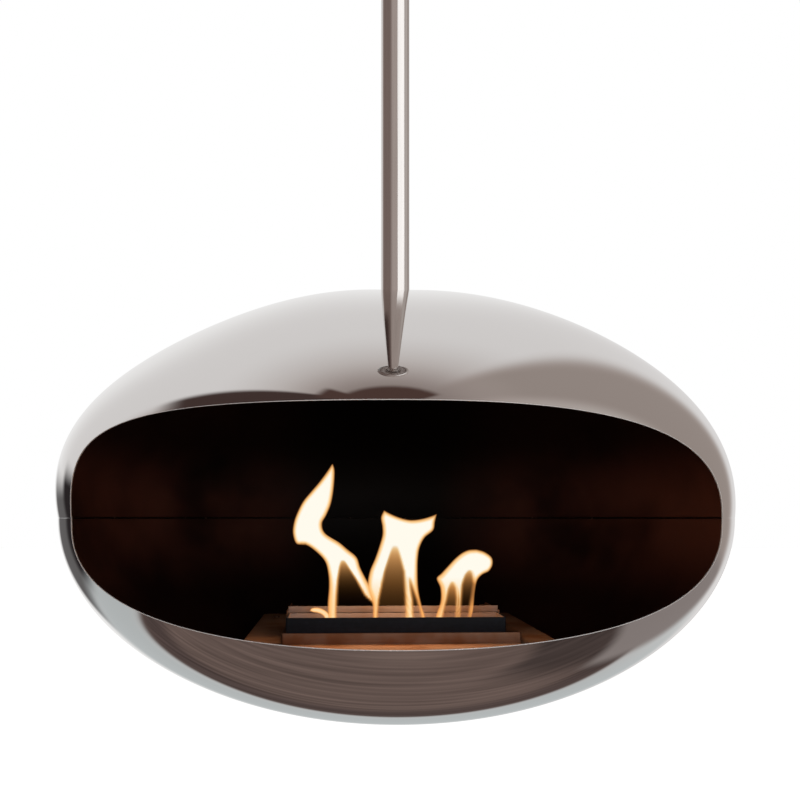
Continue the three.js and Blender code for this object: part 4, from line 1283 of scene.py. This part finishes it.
class HEARTH_OT_burner(HearthOperator, bpy.types.Operator):
    """Make the burner: casing, tank, wool, grate, the frame round the slot, lid and rails"""

    bl_idname = "hearth.burner"
    bl_label = "Burner"

    def execute(self, context):
        settings = context.scene.hearth_burner
        casing_steel = warmed_steel(
            "Casing Steel", tuple(settings.casing), 0.36, (10.0, 700.0, 700.0), 0.75
        )
        dark = self.dark_coating(settings)
        lid_steel = warmed_steel(
            "Lid Steel", (0.34, 0.27, 0.25), 0.50, (10.0, 650.0, 650.0), 0.7
        )

        low, high = outline_of("burner_casing")
        tank_low, tank_high = outline_of("burner_tank")
        tank_body = (tank_low[:2] + TANK_LIP, tank_high[:2] - TANK_LIP)
        casing = Piece()
        ringed(casing, tray_rows(
            (low[:2], high[:2]), (low[2], high[2]), grown(tank_body, 0.0005), 0.002
        ), True)
        self.place(casing, "casing_tray", "burner_casing", casing_steel, "burner_steel", "pod")

        deck = high[2]
        lip_top, wall, bottom = tank_high[2], 0.0015, tank_low[2]
        lip_box = (tank_low[:2], tank_high[:2])
        hollow = grown(tank_body, -wall)
        tank = Piece()
        ringed(tank, [
            (rectangle(*grown(tank_body, -0.002), 0.006), bottom),
            (rectangle(*tank_body, 0.006), bottom + 0.002),
            (rectangle(*tank_body, 0.004), deck), (rectangle(*lip_box, 0.005), deck),
            (rectangle(*lip_box, 0.005), lip_top - 0.0003),
            (rectangle(*grown(lip_box, -0.0003), 0.005), lip_top),
            (rectangle(*grown(hollow, 0.0006), 0.004), lip_top),
            (rectangle(*hollow, 0.004), lip_top - 0.0007),
            (rectangle(*hollow, 0.004), bottom + wall + 0.001),
            (rectangle(*grown(hollow, -0.001), 0.004), bottom + wall),
        ], False)
        self.place(tank, "tank_tray", "burner_tank", casing_steel, "burner_steel", "pod")

        self.wool()
        self.grate(casing_steel)

        low, high = outline_of("slot_frame")
        inside = (low[:2] + 0.003, high[:2] - 0.003)
        box = (low[:2], high[:2])
        frame_piece = Piece()
        ringed(frame_piece, [
            (rectangle(*box, 0.0025), low[2]), (rectangle(*box, 0.0025), high[2] - 0.0007),
            (rectangle(*grown(box, -0.0002), 0.0025), high[2] - 0.0002),
            (rectangle(*grown(box, -0.0007), 0.0025), high[2]),
            (rectangle(*grown(inside, 0.0007), 0.0015), high[2]),
            (rectangle(*grown(inside, 0.0002), 0.0015), high[2] - 0.0002),
            (rectangle(*inside, 0.0015), high[2] - 0.0007), (rectangle(*inside, 0.0015), low[2]),
        ], True)
        ring = rectangle(*box, 0.0025)[:, 1] > high[1] - 0.003
        behind = np.tile(ring & np.roll(ring, -1), 8)
        walls = np.repeat(np.arange(8), len(ring))
        bare = (walls == 5) | (walls == 6) | (behind & ((walls == 3) | (walls == 4)))
        frame_piece.slots[-1] = np.where(bare, 1, 0)
        self.place(
            frame_piece, "slot_surround", "slot_frame", [dark, lid_steel], "dark_steel", "pod"
        )

        low, high = outline_of("burner_lid")
        sheet, lip = 0.002, high[2]
        side = eased(
            [
                (low[1], low[2]), (high[1], low[2]), (high[1], low[2] + sheet),
                (low[1] + sheet, low[2] + sheet), (low[1] + sheet, lip), (low[1], lip),
            ],
            [0.0008, 0.0005, 0.0005, 0.0012, 0.0006, 0.0006], 4,
        )
        lid = Piece().prism(side, 0, low[0], high[0])
        piece = self.place(lid, "lid_sheet", "burner_lid", lid_steel, "burner_steel", "lid")
        bevelled(piece, 0.0004)

        for name in ("left", "right"):
            low, high = outline_of(f"lid_rail_{name}")
            turn = -1.0 if name == "left" else 1.0
            wide = high[0] - low[0]
            foot, bed, guide = 0.022, 0.024, 0.028
            outline = np.array([
                (wide, 0), (0, 0), (0, bed), (wide - 0.0028, bed), (wide - 0.0028, foot),
                (wide - 0.0025, foot), (wide - 0.0025, guide), (wide, guide),
            ])
            start = low[0] if turn > 0 else high[0]
            across = start + turn * outline[:, 0]
            section = np.stack([low[2] + outline[:, 1], across], axis=-1)
            rail = Piece().prism(section, 1, low[1], high[1])
            piece = self.place(
                rail, f"rail_{name}", f"lid_rail_{name}", casing_steel, "burner_steel", "pod"
            )
            bevelled(piece, 0.0003)
        return {"FINISHED"}

    def place(self, form, name, node, material, slot, body):
        materials = material if isinstance(material, list) else [material]
        piece = form.finish(name, materials, 35)
        recalculated(piece)
        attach(piece, body)
        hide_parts(node)
        return piece

    def dark_coating(self, settings):
        """Blue-grey heat-proof coating with a faint brushed grain under it."""
        material, tree, shader = new_material("Dark Coating")
        base = tuple(settings.dark)
        lines = place_group(tree, brushed_grain(), Stretch=(16.0, 500.0, 500.0), Contrast=0.5)
        marks = place_group(tree, handling_marks(), Scale=14.0, Amount=0.5)
        toned = link_mix(
            tree, mix_node(tree), base, tuple(min(1.0, 1.9 * c) for c in base),
            marks.outputs["Mask"],
        )
        toned = link_mix(tree, mix_node(tree, "MULTIPLY"), toned, lines.outputs["Shade"], 1.0)
        tree.links.new(toned, shader.inputs["Base Color"])
        rough = math_node(tree, "MULTIPLY_ADD", marks.outputs["Mask"], 0.12)
        rough.node.inputs[2].default_value = 0.40
        tree.links.new(rough, shader.inputs["Roughness"])
        shader.inputs["Metallic"].default_value = 0.1
        shader.inputs["Specular IOR Level"].default_value = 0.16
        bump(tree, shader, lines.outputs["Grain"], 0.3, 0.0001)
        return material

    def wool(self):
        """Ceramic wool: a pad whose top swells and dips in soft lumps of two sizes."""
        low, high = outline_of("ceramic_wool")
        columns, rows = 90, 28
        x = np.linspace(low[0] + 0.0006, high[0] - 0.0006, columns)
        y = np.linspace(low[1] + 0.0006, high[1] - 0.0006, rows)
        grid_x, grid_y = np.meshgrid(x, y)
        lumps = (np.sin(grid_x * 310) * np.sin(grid_y * 270 + 1.3)
                 + 0.5 * np.sin(grid_x * 730 + 2) * np.sin(grid_y * 690))
        top = high[2] - 0.0012 + 0.0007 * lumps
        top[[0, -1]] -= 0.003
        top[:, [0, -1]] -= 0.003
        upper = np.stack([grid_x, grid_y, top], axis=-1)
        lower = np.stack([grid_x, grid_y, np.full_like(top, low[2])], axis=-1)
        count = rows * columns
        edge = np.concatenate([
            np.arange(columns), np.arange(1, rows) * columns + columns - 1,
            (rows - 1) * columns + np.arange(columns - 2, -1, -1),
            np.arange(rows - 2, 0, -1) * columns,
        ])
        ahead = np.roll(edge, -1)
        sides = np.stack([edge, edge + count, ahead + count, ahead], axis=-1)
        form = Piece().add(
            np.vstack([upper.reshape(-1, 3), lower.reshape(-1, 3)]),
            [grid_faces(rows, columns), grid_faces(rows, columns, first=count)[:, ::-1], sides],
        )
        material, tree, shader = new_material("Ceramic Wool")
        place = object_coordinates(tree)
        fibres = noise(tree, place, 1.0, 4.0, (900.0, 260.0, 500.0))
        shade = link_mix(tree, mix_node(tree), (0.80, 0.77, 0.70), (0.55, 0.48, 0.40), fibres)
        tree.links.new(shade, shader.inputs["Base Color"])
        shader.inputs["Roughness"].default_value = 0.95
        bump(tree, shader, fibres, 0.6, 0.0012)
        self.place(form, "wool_pad", "ceramic_wool", material, "ceramic_fibre", "pod")

    def grate(self, steel):
        """Plate with rows of slots. Each cell is a ring: its square edge, then the slot's
        rounded edge, above and below, so the cells share their square edges."""
        low, high = outline_of("burner_grate")
        columns, rows, bar = 12, 3, 0.008
        pitch = (high[:2] - low[:2] - bar) / [columns, rows]
        cell = np.stack(np.meshgrid(np.arange(columns), np.arange(rows)), axis=-1).reshape(-1, 2)
        corner = low[:2] + bar / 2 + cell * pitch
        first_cell = cell == 0
        last_cell = cell == np.array([columns - 1, rows - 1])
        form = Piece()
        steps = 4
        for index in range(len(cell)):
            square_low = corner[index] - np.where(first_cell[index], bar / 2, 0)
            square_high = corner[index] + pitch + np.where(last_cell[index], bar / 2, 0)
            hole = (corner[index] + bar / 2, corner[index] + pitch - bar / 2)
            outside = rectangle(square_low, square_high, 1e-5, steps)
            inside = rectangle(*hole, 0.0035, steps)
            ringed(form, [
                (outside, low[2]), (outside, high[2]),
                (rectangle(*grown(hole, 0.0004), 0.0035, steps), high[2]),
                (inside, high[2] - 0.0004), (inside, low[2]),
            ], True)
        self.place(form, "grate_plate", "burner_grate", steel, "burner_steel", "pod")


# ---------------------------------------------------------------- fixings that keep their CAD form

class HEARTH_OT_fixings(HearthOperator, bpy.types.Operator):
    """Give the hidden fixings and the bearing their materials"""

    bl_idname = "hearth.fixings"
    bl_label = "Fixings"

    def execute(self, context):
        machined = metal(
            "Machined Steel", (0.56, 0.55, 0.53), 0.28, (40.0, 40.0, 1200.0), 0.3, 0.1, 20.0
        )
        bronze = metal("Bush Bronze", (0.60, 0.40, 0.20), 0.30, (50.0, 50.0, 900.0), 0.3, 0.12)
        black = metal(
            "Black Plate", (0.045, 0.04, 0.038), 0.46, (200.0, 200.0, 200.0), 0.4, 0.1, 20.0,
            metallic=0.7,
        )
        finishes = {
            machined: ["ceiling_plate", "bearing_housing", "lower_race", "ball_cage",
                       "upper_race", "pole_foot_plug"],
            bronze: ["housing_bush"],
            black: ["top_doubler"],
            zinc(): [f"housing_screw_{k}" for k in range(1, 5)]
            + ["swivel_nut", "nut_pin", "pole_pin", "collar_screw", "pole_washer", "pole_bolt"]
            + [f"rail_screw_{k}" for k in range(1, 5)],
        }
        for material, names in finishes.items():
            for name in names:
                node = frame["nodes"][name]
                for index in range(len(node.material_slots)):
                    node.material_slots[index].material = material
        return {"FINISHED"}


# ---------------------------------------------------------------- flames

# Each flame is a ladder of rungs (left x, left z, right x, right z) in millimetres, from the
# grate up, z measured from the seam.
LEFT_FLAME = [
    (-119, -184, -38, -184), (-119, -159, -38, -159), (-119, -138, -40, -140),
    (-117, -112, -47, -116), (-118, -91, -57, -97), (-123, -71, -65, -81),
    (-136, -56, -71, -64), (-153, -44, -86, -51), (-169, -42, -99, -40),
    (-175, -26, -122, -25), (-174, -10, -127, -9), (-169, 6, -120, 5), (-159, 26, -113, 22),
    (-146, 42, -109, 42), (-133, 57, -107, 64), (-121, 73, -107, 79), (-111, 88, -110, 88),
]
MIDDLE_FLAME = [
    (-46, -184, 43, -184), (-46, -160, 41, -161), (-47, -137, 34, -139),
    (-54, -112, 29, -113), (-51, -88, 28, -82), (-42, -66, 29, -62), (-35, -46, 32, -47),
    (-30, -28, 40, -32), (-30, -14, 54, -20), (-32, 1, 57, -6), (-27, 13, 60, 7),
]
RIGHT_FLAME = [
    (57, -184, 117, -185), (57, -161, 117, -163), (65, -137, 120, -149),
    (65, -115, 122, -123), (59, -99, 126, -103), (67, -90, 134, -93), (77, -79, 145, -87),
    (88, -67, 151, -76), (100, -57, 149, -64), (111, -52, 137, -55), (122, -51, 124, -51),
]
# Hollows: how far below its apex the gas starts to thin, how fast it thins, and the rungs
# (z, left x, right x) from the apex down. All in millimetres.
LEFT_HOLLOWS = [
    (5, 12, [(-62, -96, -94), (-80, -100, -84), (-100, -103, -71), (-125, -105, -57),
             (-150, -106, -30), (-190, -106, -30)]),
]
MIDDLE_HOLLOWS = [
    (16, 30, [(-27, -10, -8), (-50, -16, -3), (-88, -28, 7), (-132, -37, 9.5),
              (-160, -39, 10), (-190, -39, 10)]),
    (6, 14, [(-88, 11, 13), (-110, 14, 20), (-132, 17.6, 27.4), (-160, 19, 35), (-190, 19, 35)]),
]
RIGHT_HOLLOWS = [
    (5, 13, [(-78, 112.5, 114), (-92, 104, 119), (-108, 99, 121), (-132, 97, 117.6),
             (-160, 95, 113), (-190, 95, 113)]),
    (4, 16, [(-98, 83, 85), (-115, 77, 92), (-132, 74, 94), (-160, 67, 93), (-190, 67, 93)]),
]
CURL = [
    (-122, -167, -113, -160), (-125, -160, -118, -153), (-130, -156, -125, -148),
    (-136, -154, -134, -145), (-142, -153, -143, -145.5), (-147, -151, -147, -148.5),
]


def along_ladder(ladder, rungs):
    """Points along both rails at even steps: Catmull-Rom through the rungs."""
    knots = np.asarray(ladder, float) / 1000
    padded = np.vstack([2 * knots[0] - knots[1], knots, 2 * knots[-1] - knots[-2]])
    u = np.linspace(0, len(knots) - 1, rungs)
    index = np.minimum(u.astype(int), len(knots) - 2)
    t = (u - index)[:, None]
    a, b, c, d = (padded[index + k] for k in range(4))
    return 0.5 * (2 * b + (c - a) * t + (2 * a - 5 * b + 4 * c - d) * t**2
                  + (3 * b - a - 3 * c + d) * t**3)


def softened(share):
    """Smooth step: t^2 (3 - 2t), with t held between 0 and 1."""
    held = np.clip(share, 0, 1)
    return held**2 * (3 - 2 * held)


def flame(name, ladder, hollows, thickness, sway, dip, material, softness=1.0):
    """One tongue of two sheets, a front and a back that meet along their outline: a rung's
    share s from left to right places x and z, and the sheets stand off the middle by
    thickness * sqrt(1 - s^2), as an ellipse does."""
    rungs, across = 110, 41
    rail = along_ladder(ladder, rungs)
    s = -np.cos(np.linspace(0, np.pi, across))
    share = (s + 1) / 2
    x = rail[:, 0, None] * (1 - share) + rail[:, 2, None] * share
    z = rail[:, 1, None] * (1 - share) + rail[:, 3, None] * share
    rise = np.linspace(0, 1, rungs)[:, None]
    if dip > 0:
        z = z - dip * (np.clip((rise - 0.72) / 0.28, 0, 1) ** 1.3) * (1 - np.abs(s) ** 1.7)
    wide = np.hypot(rail[:, 2] - rail[:, 0], rail[:, 3] - rail[:, 1])[:, None]
    swell = thickness * np.minimum(1.0, wide / 0.055) * np.clip((1 - rise) * 8, 0, 1) ** 0.5
    depth = swell * np.sqrt(np.clip(1 - s**2, 0, 1))
    middle = FLAME_PLANE + sway * np.sin(rise * 5.0)
    front = np.stack([x, middle - depth, z + SEAM], axis=-1)
    back = np.stack([x, middle + depth, z + SEAM], axis=-1)

    # Heat and density from the distance to the outline, the hollows and the foot.
    outline = np.concatenate([
        np.stack([x[:, 0], z[:, 0]], -1), np.stack([x[-1], z[-1]], -1),
        np.stack([x[::-1, -1], z[::-1, -1]], -1),
    ])
    flat = np.stack([x, z], axis=-1).reshape(-1, 1, 2)
    distance = np.sqrt(((flat - outline[None]) ** 2).sum(-1)).min(-1).reshape(x.shape)
    body = np.clip(distance / (0.0045 * softness), 0, 1) ** 1.2
    warmth = np.clip(distance / (0.0085 * softness), 0, 1) ** 0.8
    gas = np.ones_like(x)
    for delay, fall, cuts in hollows:
        level, from_left, from_right = np.array(cuts, float).T / 1000
        from_left = np.interp(-z, -level, from_left)
        from_right = np.interp(-z, -level, from_right)
        depth = level[0] - z
        inside = (softened((x - from_left) / 0.006 + 0.35)
                  * softened((from_right - x) / 0.006 + 0.35) * softened(depth / 0.004))
        thin = np.exp(-np.clip(depth * 1000 - delay, 0, None) / fall)
        gas = gas * (1 - inside * (1 - thin))
    foot = np.clip((-0.172 - z) / 0.012, 0, 1)
    lower = softened((-0.070 - z) / 0.075)
    heat = (0.22 + 0.78 * warmth) * (0.42 + 0.58 * gas**4) * (1 - 0.30 * lower)
    # Front and back lie over each other, so each holds 1 - sqrt(1 - gas) of the whole.
    density = body * (1 - np.sqrt(1 - np.clip(gas, 0, 1))) * (1 - 0.9 * foot)

    form = Piece()
    form.add(front, [grid_faces(rungs, across)])
    form.add(back, [grid_faces(rungs, across)[:, ::-1]])
    piece = form.finish(name, [material], 180)
    values = np.concatenate([heat.ravel(), heat.ravel()]).astype(np.float32)
    piece.data.attributes.new("flame_heat", "FLOAT", "POINT").data.foreach_set("value", values)
    values = np.concatenate([density.ravel(), density.ravel()]).astype(np.float32)
    piece.data.attributes.new("flame_body", "FLOAT", "POINT").data.foreach_set("value", values)
    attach(piece, "pod")
    return piece


class HEARTH_OT_flames(HearthOperator, bpy.types.Operator):
    """Make the three flames and the small curl, and the lamps that stand for their light"""

    bl_idname = "hearth.flames"
    bl_label = "Flames"

    def execute(self, context):
        settings = context.scene.hearth_flames
        material = self.fire(settings)
        made = [
            flame("flame_left", LEFT_FLAME, LEFT_HOLLOWS, 0.017, 0.004, 0.0, material),
            flame("flame_middle", MIDDLE_FLAME, MIDDLE_HOLLOWS, 0.018, -0.004, 0.013, material),
            flame("flame_right", RIGHT_FLAME, RIGHT_HOLLOWS, 0.016, 0.003, 0.0, material),
            flame("flame_curl", CURL, [], 0.004, 0.0, 0.0, material, 0.35),
        ]
        for piece in made:
            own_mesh(piece)
        self.glow(context, settings)
        return {"FINISHED"}

    def glow(self, context, settings):
        """Lamps that stand for the flames' light: one over the slot, three in their heads."""
        over = bpy.data.lights.new("Flame Light", "AREA")
        over.shape = "RECTANGLE"
        over.size = 0.26
        over.size_y = 0.06
        over.energy = 0.35 * settings.glow
        lamps = [(over, (-0.01, -0.165, SEAM - 0.085))]
        for name, share, place in (
            ("Left", 0.45, (-0.135, -0.19, SEAM + 0.010)),
            ("Middle", 0.30, (0.010, -0.19, SEAM - 0.030)),
            ("Right", 0.12, (0.125, -0.19, SEAM - 0.085)),
        ):
            head = bpy.data.lights.new(f"Flame Light {name}", "POINT")
            head.shadow_soft_size = 0.03
            head.energy = share * settings.glow
            lamps.append((head, place))
        for lamp, place in lamps:
            lamp.color = (1.0, 0.55, 0.27)
            holder = bpy.data.objects.new(lamp.name, lamp)
            holder.location = place
            holder.visible_camera = False
            holder.visible_glossy = False
            context.scene.collection.objects.link(holder)
            holder.parent = frame["bodies"]["pod"]
            holder.matrix_parent_inverse = frame["bodies"]["pod"].matrix_world.inverted()

    def fire(self, settings):
        """Glowing gas: colour and density come from the flame's own attributes."""
        material, tree, shader = new_material("Flame")
        heat = tree.nodes.new("ShaderNodeAttribute")
        heat.attribute_name = "flame_heat"
        density = tree.nodes.new("ShaderNodeAttribute")
        density.attribute_name = "flame_body"
        ramp = tree.nodes.new("ShaderNodeValToRGB")
        stops = ramp.color_ramp.elements
        core, rim, smoke = tuple(settings.core), tuple(settings.rim), tuple(settings.smoke)
        stops[0].position, stops[0].color = 0.04, (*smoke, 1.0)
        stops[1].position, stops[1].color = 0.92, (*core, 1.0)
        for position, value in ((0.36, rim), (0.66, tuple(settings.body))):
            stop = stops.new(position)
            stop.color = (*value, 1.0)
        tree.links.new(heat.outputs["Fac"], ramp.inputs["Fac"])
        tree.links.new(ramp.outputs["Color"], shader.inputs["Emission Color"])
        tree.links.new(density.outputs["Fac"], shader.inputs["Alpha"])
        shader.inputs["Emission Strength"].default_value = 1.0
        shader.inputs["Base Color"].default_value = (0.0, 0.0, 0.0, 1.0)
        shader.inputs["Roughness"].default_value = 1.0
        shader.inputs["Specular IOR Level"].default_value = 0.0
        return material


# ---------------------------------------------------------------- studio

# What the steel mirrors: cards laid over a backdrop, in order. Each has its tone, its azimuths
# and elevations in degrees, the softness of both edges (a pair where they differ), and its share.
EVERYWHERE = (-999, 999)
BACKDROP = (0.42, 0.36, 0.335)
CARDS = [
    ((0.20, 0.15, 0.135), (-150, -68), EVERYWHERE, (14, 10)),
    ((1.22, 1.21, 1.20), (101, 160), (-60, 34), (3, 8)),
    ((0.50, 0.455, 0.43), (60, 98), (-45, 60), (6, 18)),
    ((0.74, 0.725, 0.72), (-60, 34), (-30, 68), (6, 14)),
    ((0.86, 0.855, 0.85), (-34, 12), (-30, 34), (10, 12)),
    ((0.34, 0.29, 0.265), (36, 62), (-26, 72), (5, 9)),
    ((0.125, 0.12, 0.12), (-44, -26), (-17, 3), (3, 3)),
    ((0.024, 0.020, 0.021), (-80, -40), (-18, 7), (2.5, 3.5)),
    ((0.50, 0.53, 0.535), (-90, 34), (-31, -15), (20, 4)),
    ((0.13, 0.095, 0.088), EVERYWHERE, (80, 999), (5, 13)),
    ((0.060, 0.038, 0.034), (-125, -57), (45, 999), ((28, 2.0), 5)),
    ((0.080, 0.046, 0.039), (-62, 45), (79.5, 999), (4, 1.0)),
    ((0.080, 0.046, 0.039), (-62, -44), (75.5, 999), (3, 1.2)),
    ((0.145, 0.103, 0.090), EVERYWHERE, (-999, -31), (5, 1.2)),
    ((0.070, 0.050, 0.047), EVERYWHERE, (-38, -31), (5, 2.5), 0.8),
    ((0.20, 0.145, 0.125), EVERYWHERE, (-999, -80), (5, 9), 0.7),
    ((0.048, 0.036, 0.034), (32, 120), (-60, -31), (12, 3), 0.8),
]
DEGREES = 57.2958  # in one radian


class HEARTH_OT_studio(HearthOperator, bpy.types.Operator):
    """Make the floor, the light, the camera and what the steel mirrors"""

    bl_idname = "hearth.studio"
    bl_label = "Studio"

    def execute(self, context):
        settings = context.scene.hearth_stage
        self.floor(settings)
        self.world(context, settings)
        self.lamps(context, settings)
        self.camera(context)
        return {"FINISHED"}

    def floor(self, settings):
        level = settings.floor_level
        corners = np.array([(-30, -30, level), (30, -30, level), (30, 30, level), (-30, 30, level)])
        form = Piece().add(corners, [np.arange(4)[None, :]])
        material, tree, shader = new_material("Pale Floor")
        shader.inputs["Base Color"].default_value = (0.86, 0.86, 0.86, 1.0)
        shader.inputs["Roughness"].default_value = 0.9
        shader.inputs["Emission Color"].default_value = (1.0, 1.0, 1.0, 1.0)
        path = tree.nodes.new("ShaderNodeLightPath")
        seen = math_node(tree, "MULTIPLY", path.outputs["Is Camera Ray"], 0.62)
        tree.links.new(seen, shader.inputs["Emission Strength"])
        piece = form.finish("studio_floor", [material], 180)
        piece.visible_glossy = False

    def world(self, context, settings):
        """White to the eye, plain soft light to matt surfaces, and to mirrors a studio of cards:
        each card is a soft-edged patch of directions with its own tone."""
        world = bpy.data.worlds.new("Studio")
        context.scene.world = world
        world.use_nodes = True
        tree = world.node_tree
        tree.nodes.clear()
        output = tree.nodes.new("ShaderNodeOutputWorld")
        place = tree.nodes.new("ShaderNodeTexCoord").outputs["Generated"]
        split = tree.nodes.new("ShaderNodeSeparateXYZ")
        tree.links.new(place, split.inputs[0])
        x, y, z = (split.outputs[axis] for axis in "XYZ")
        turned = math_node(tree, "ARCTAN2", x, y)
        azimuth = math_node(tree, "MULTIPLY_ADD", turned, DEGREES)
        azimuth.node.inputs[2].default_value = -3.0
        height = math_node(tree, "ARCSINE", z)
        elevation = math_node(tree, "MULTIPLY", height, DEGREES)

        def card(below, tone, azimuths, elevations, softness, amount=1.0):
            edges = []
            for value, (start, end), soft in (
                (azimuth, azimuths, softness[0]), (elevation, elevations, softness[1]),
            ):
                early, late = soft if isinstance(soft, tuple) else (soft, soft)
                if start > -500:
                    edges.append(map_range(tree, value, start - early, start + early))
                if end < 500:
                    edges.append(map_range(tree, value, end - late, end + late, 1.0, 0.0))
            mask = edges[0]
            for edge in edges[1:]:
                mask = math_node(tree, "MULTIPLY", mask, edge)
            if amount < 1.0:
                mask = math_node(tree, "MULTIPLY", mask, amount)
            return link_mix(tree, mix_node(tree), below, tone, mask)

        shade = BACKDROP
        for row in CARDS:
            shade = card(shade, *row)

        # Fine streaks where the mirrored ground lies: noise on x / -z and y / -z.
        lowered = math_node(tree, "MAXIMUM", math_node(tree, "MULTIPLY", z, -1.0), 0.02)
        spread = tree.nodes.new("ShaderNodeCombineXYZ")
        tree.links.new(math_node(tree, "DIVIDE", x, lowered), spread.inputs[0])
        tree.links.new(math_node(tree, "DIVIDE", y, lowered), spread.inputs[1])
        streaks = noise(tree, spread.outputs[0], 1.0, 3.0, (1.3, 16.0, 1.0))
        tone = map_range(tree, streaks, 0.3, 0.7, 0.72, 1.28, False)
        ground = map_range(tree, elevation, -34.0, -30.0, 1.0, 0.0)
        streaked = link_mix(tree, mix_node(tree, "MULTIPLY"), shade, tone, ground)
        streaked = card(streaked, (0.26, 0.225, 0.215), (33, 61), (-40, -8), (4, 2.5))

        mirrored = tree.nodes.new("ShaderNodeBackground")
        tree.links.new(streaked, mirrored.inputs["Color"])
        white = tree.nodes.new("ShaderNodeBackground")
        white.inputs["Color"].default_value = (1.0, 1.0, 1.0, 1.0)
        plain = tree.nodes.new("ShaderNodeBackground")
        plain.inputs["Color"].default_value = (1.0, 0.985, 0.97, 1.0)
        plain.inputs["Strength"].default_value = settings.daylight
        path = tree.nodes.new("ShaderNodeLightPath")
        seen = math_node(
            tree, "MAXIMUM", path.outputs["Is Camera Ray"], path.outputs["Is Transmission Ray"]
        )
        first = tree.nodes.new("ShaderNodeMixShader")
        tree.links.new(path.outputs["Is Glossy Ray"], first.inputs[0])
        tree.links.new(plain.outputs[0], first.inputs[1])
        tree.links.new(mirrored.outputs[0], first.inputs[2])
        second = tree.nodes.new("ShaderNodeMixShader")
        tree.links.new(seen, second.inputs[0])
        tree.links.new(first.outputs[0], second.inputs[1])
        tree.links.new(white.outputs[0], second.inputs[2])
        tree.links.new(second.outputs[0], output.inputs["Surface"])

    def lamps(self, context, settings):
        lamp = bpy.data.lights.new("Overhead", "AREA")
        lamp.shape = "DISK"
        lamp.size = 2.6
        lamp.energy = settings.lamp
        holder = bpy.data.objects.new("Overhead", lamp)
        holder.location = (-0.8, -1.2, 1.2)
        holder.rotation_euler = (math.radians(22), math.radians(-15), 0)
        holder.visible_camera = False
        holder.visible_glossy = False
        context.scene.collection.objects.link(holder)

    def camera(self, context):
        camera = bpy.data.cameras.new("Camera")
        camera.lens = 47.925
        camera.sensor_width = 36.0
        camera.shift_x = 0.006
        camera.shift_y = 0.1475
        camera.clip_end = 200.0
        holder = bpy.data.objects.new("Camera", camera)
        turn = math.radians(-3.0)
        holder.location = (1.9 * math.sin(turn), -1.9 * math.cos(turn), SEAM)
        holder.rotation_euler = (math.radians(90), 0, turn)
        context.scene.collection.objects.link(holder)
        context.scene.camera = holder
        context.scene.view_settings.view_transform = "Standard"


# ---------------------------------------------------------------- panel and main

OPERATORS = [
    HEARTH_OT_studio, HEARTH_OT_shells, HEARTH_OT_weld, HEARTH_OT_pole, HEARTH_OT_canopy,
    HEARTH_OT_screws, HEARTH_OT_platform, HEARTH_OT_burner, HEARTH_OT_fixings, HEARTH_OT_flames,
]


class HEARTH_PT_pieces(bpy.types.Panel):
    """The pieces and their sizes and colours."""

    bl_idname = "HEARTH_PT_pieces"
    bl_label = "Hanging Fireplace"
    bl_space_type = "VIEW_3D"
    bl_region_type = "UI"
    bl_category = "Fireplace"

    def draw(self, context):
        layout = self.layout
        for operator in OPERATORS:
            layout.operator(operator.bl_idname)
        for name, group in GROUPS.items():
            box = layout.box()
            box.label(text=group.__doc__)
            for setting in group.__annotations__:
                box.prop(getattr(context.scene, name), setting)


def register():
    for group in GROUPS.values():
        bpy.utils.register_class(group)
    for name, group in GROUPS.items():
        setattr(bpy.types.Scene, name, PointerProperty(type=group))
    for item in [*OPERATORS, HEARTH_PT_pieces]:
        bpy.utils.register_class(item)


def unregister():
    for item in reversed([*OPERATORS, HEARTH_PT_pieces]):
        bpy.utils.unregister_class(item)
    for name in GROUPS:
        delattr(bpy.types.Scene, name)
    for group in reversed(list(GROUPS.values())):
        bpy.utils.unregister_class(group)


def main():
    register()
    for operator in OPERATORS:
        family, name = operator.bl_idname.split(".")
        getattr(getattr(bpy.ops, family), name)()
    bpy.context.view_layer.update()


if __name__ == "__main__":
    main()
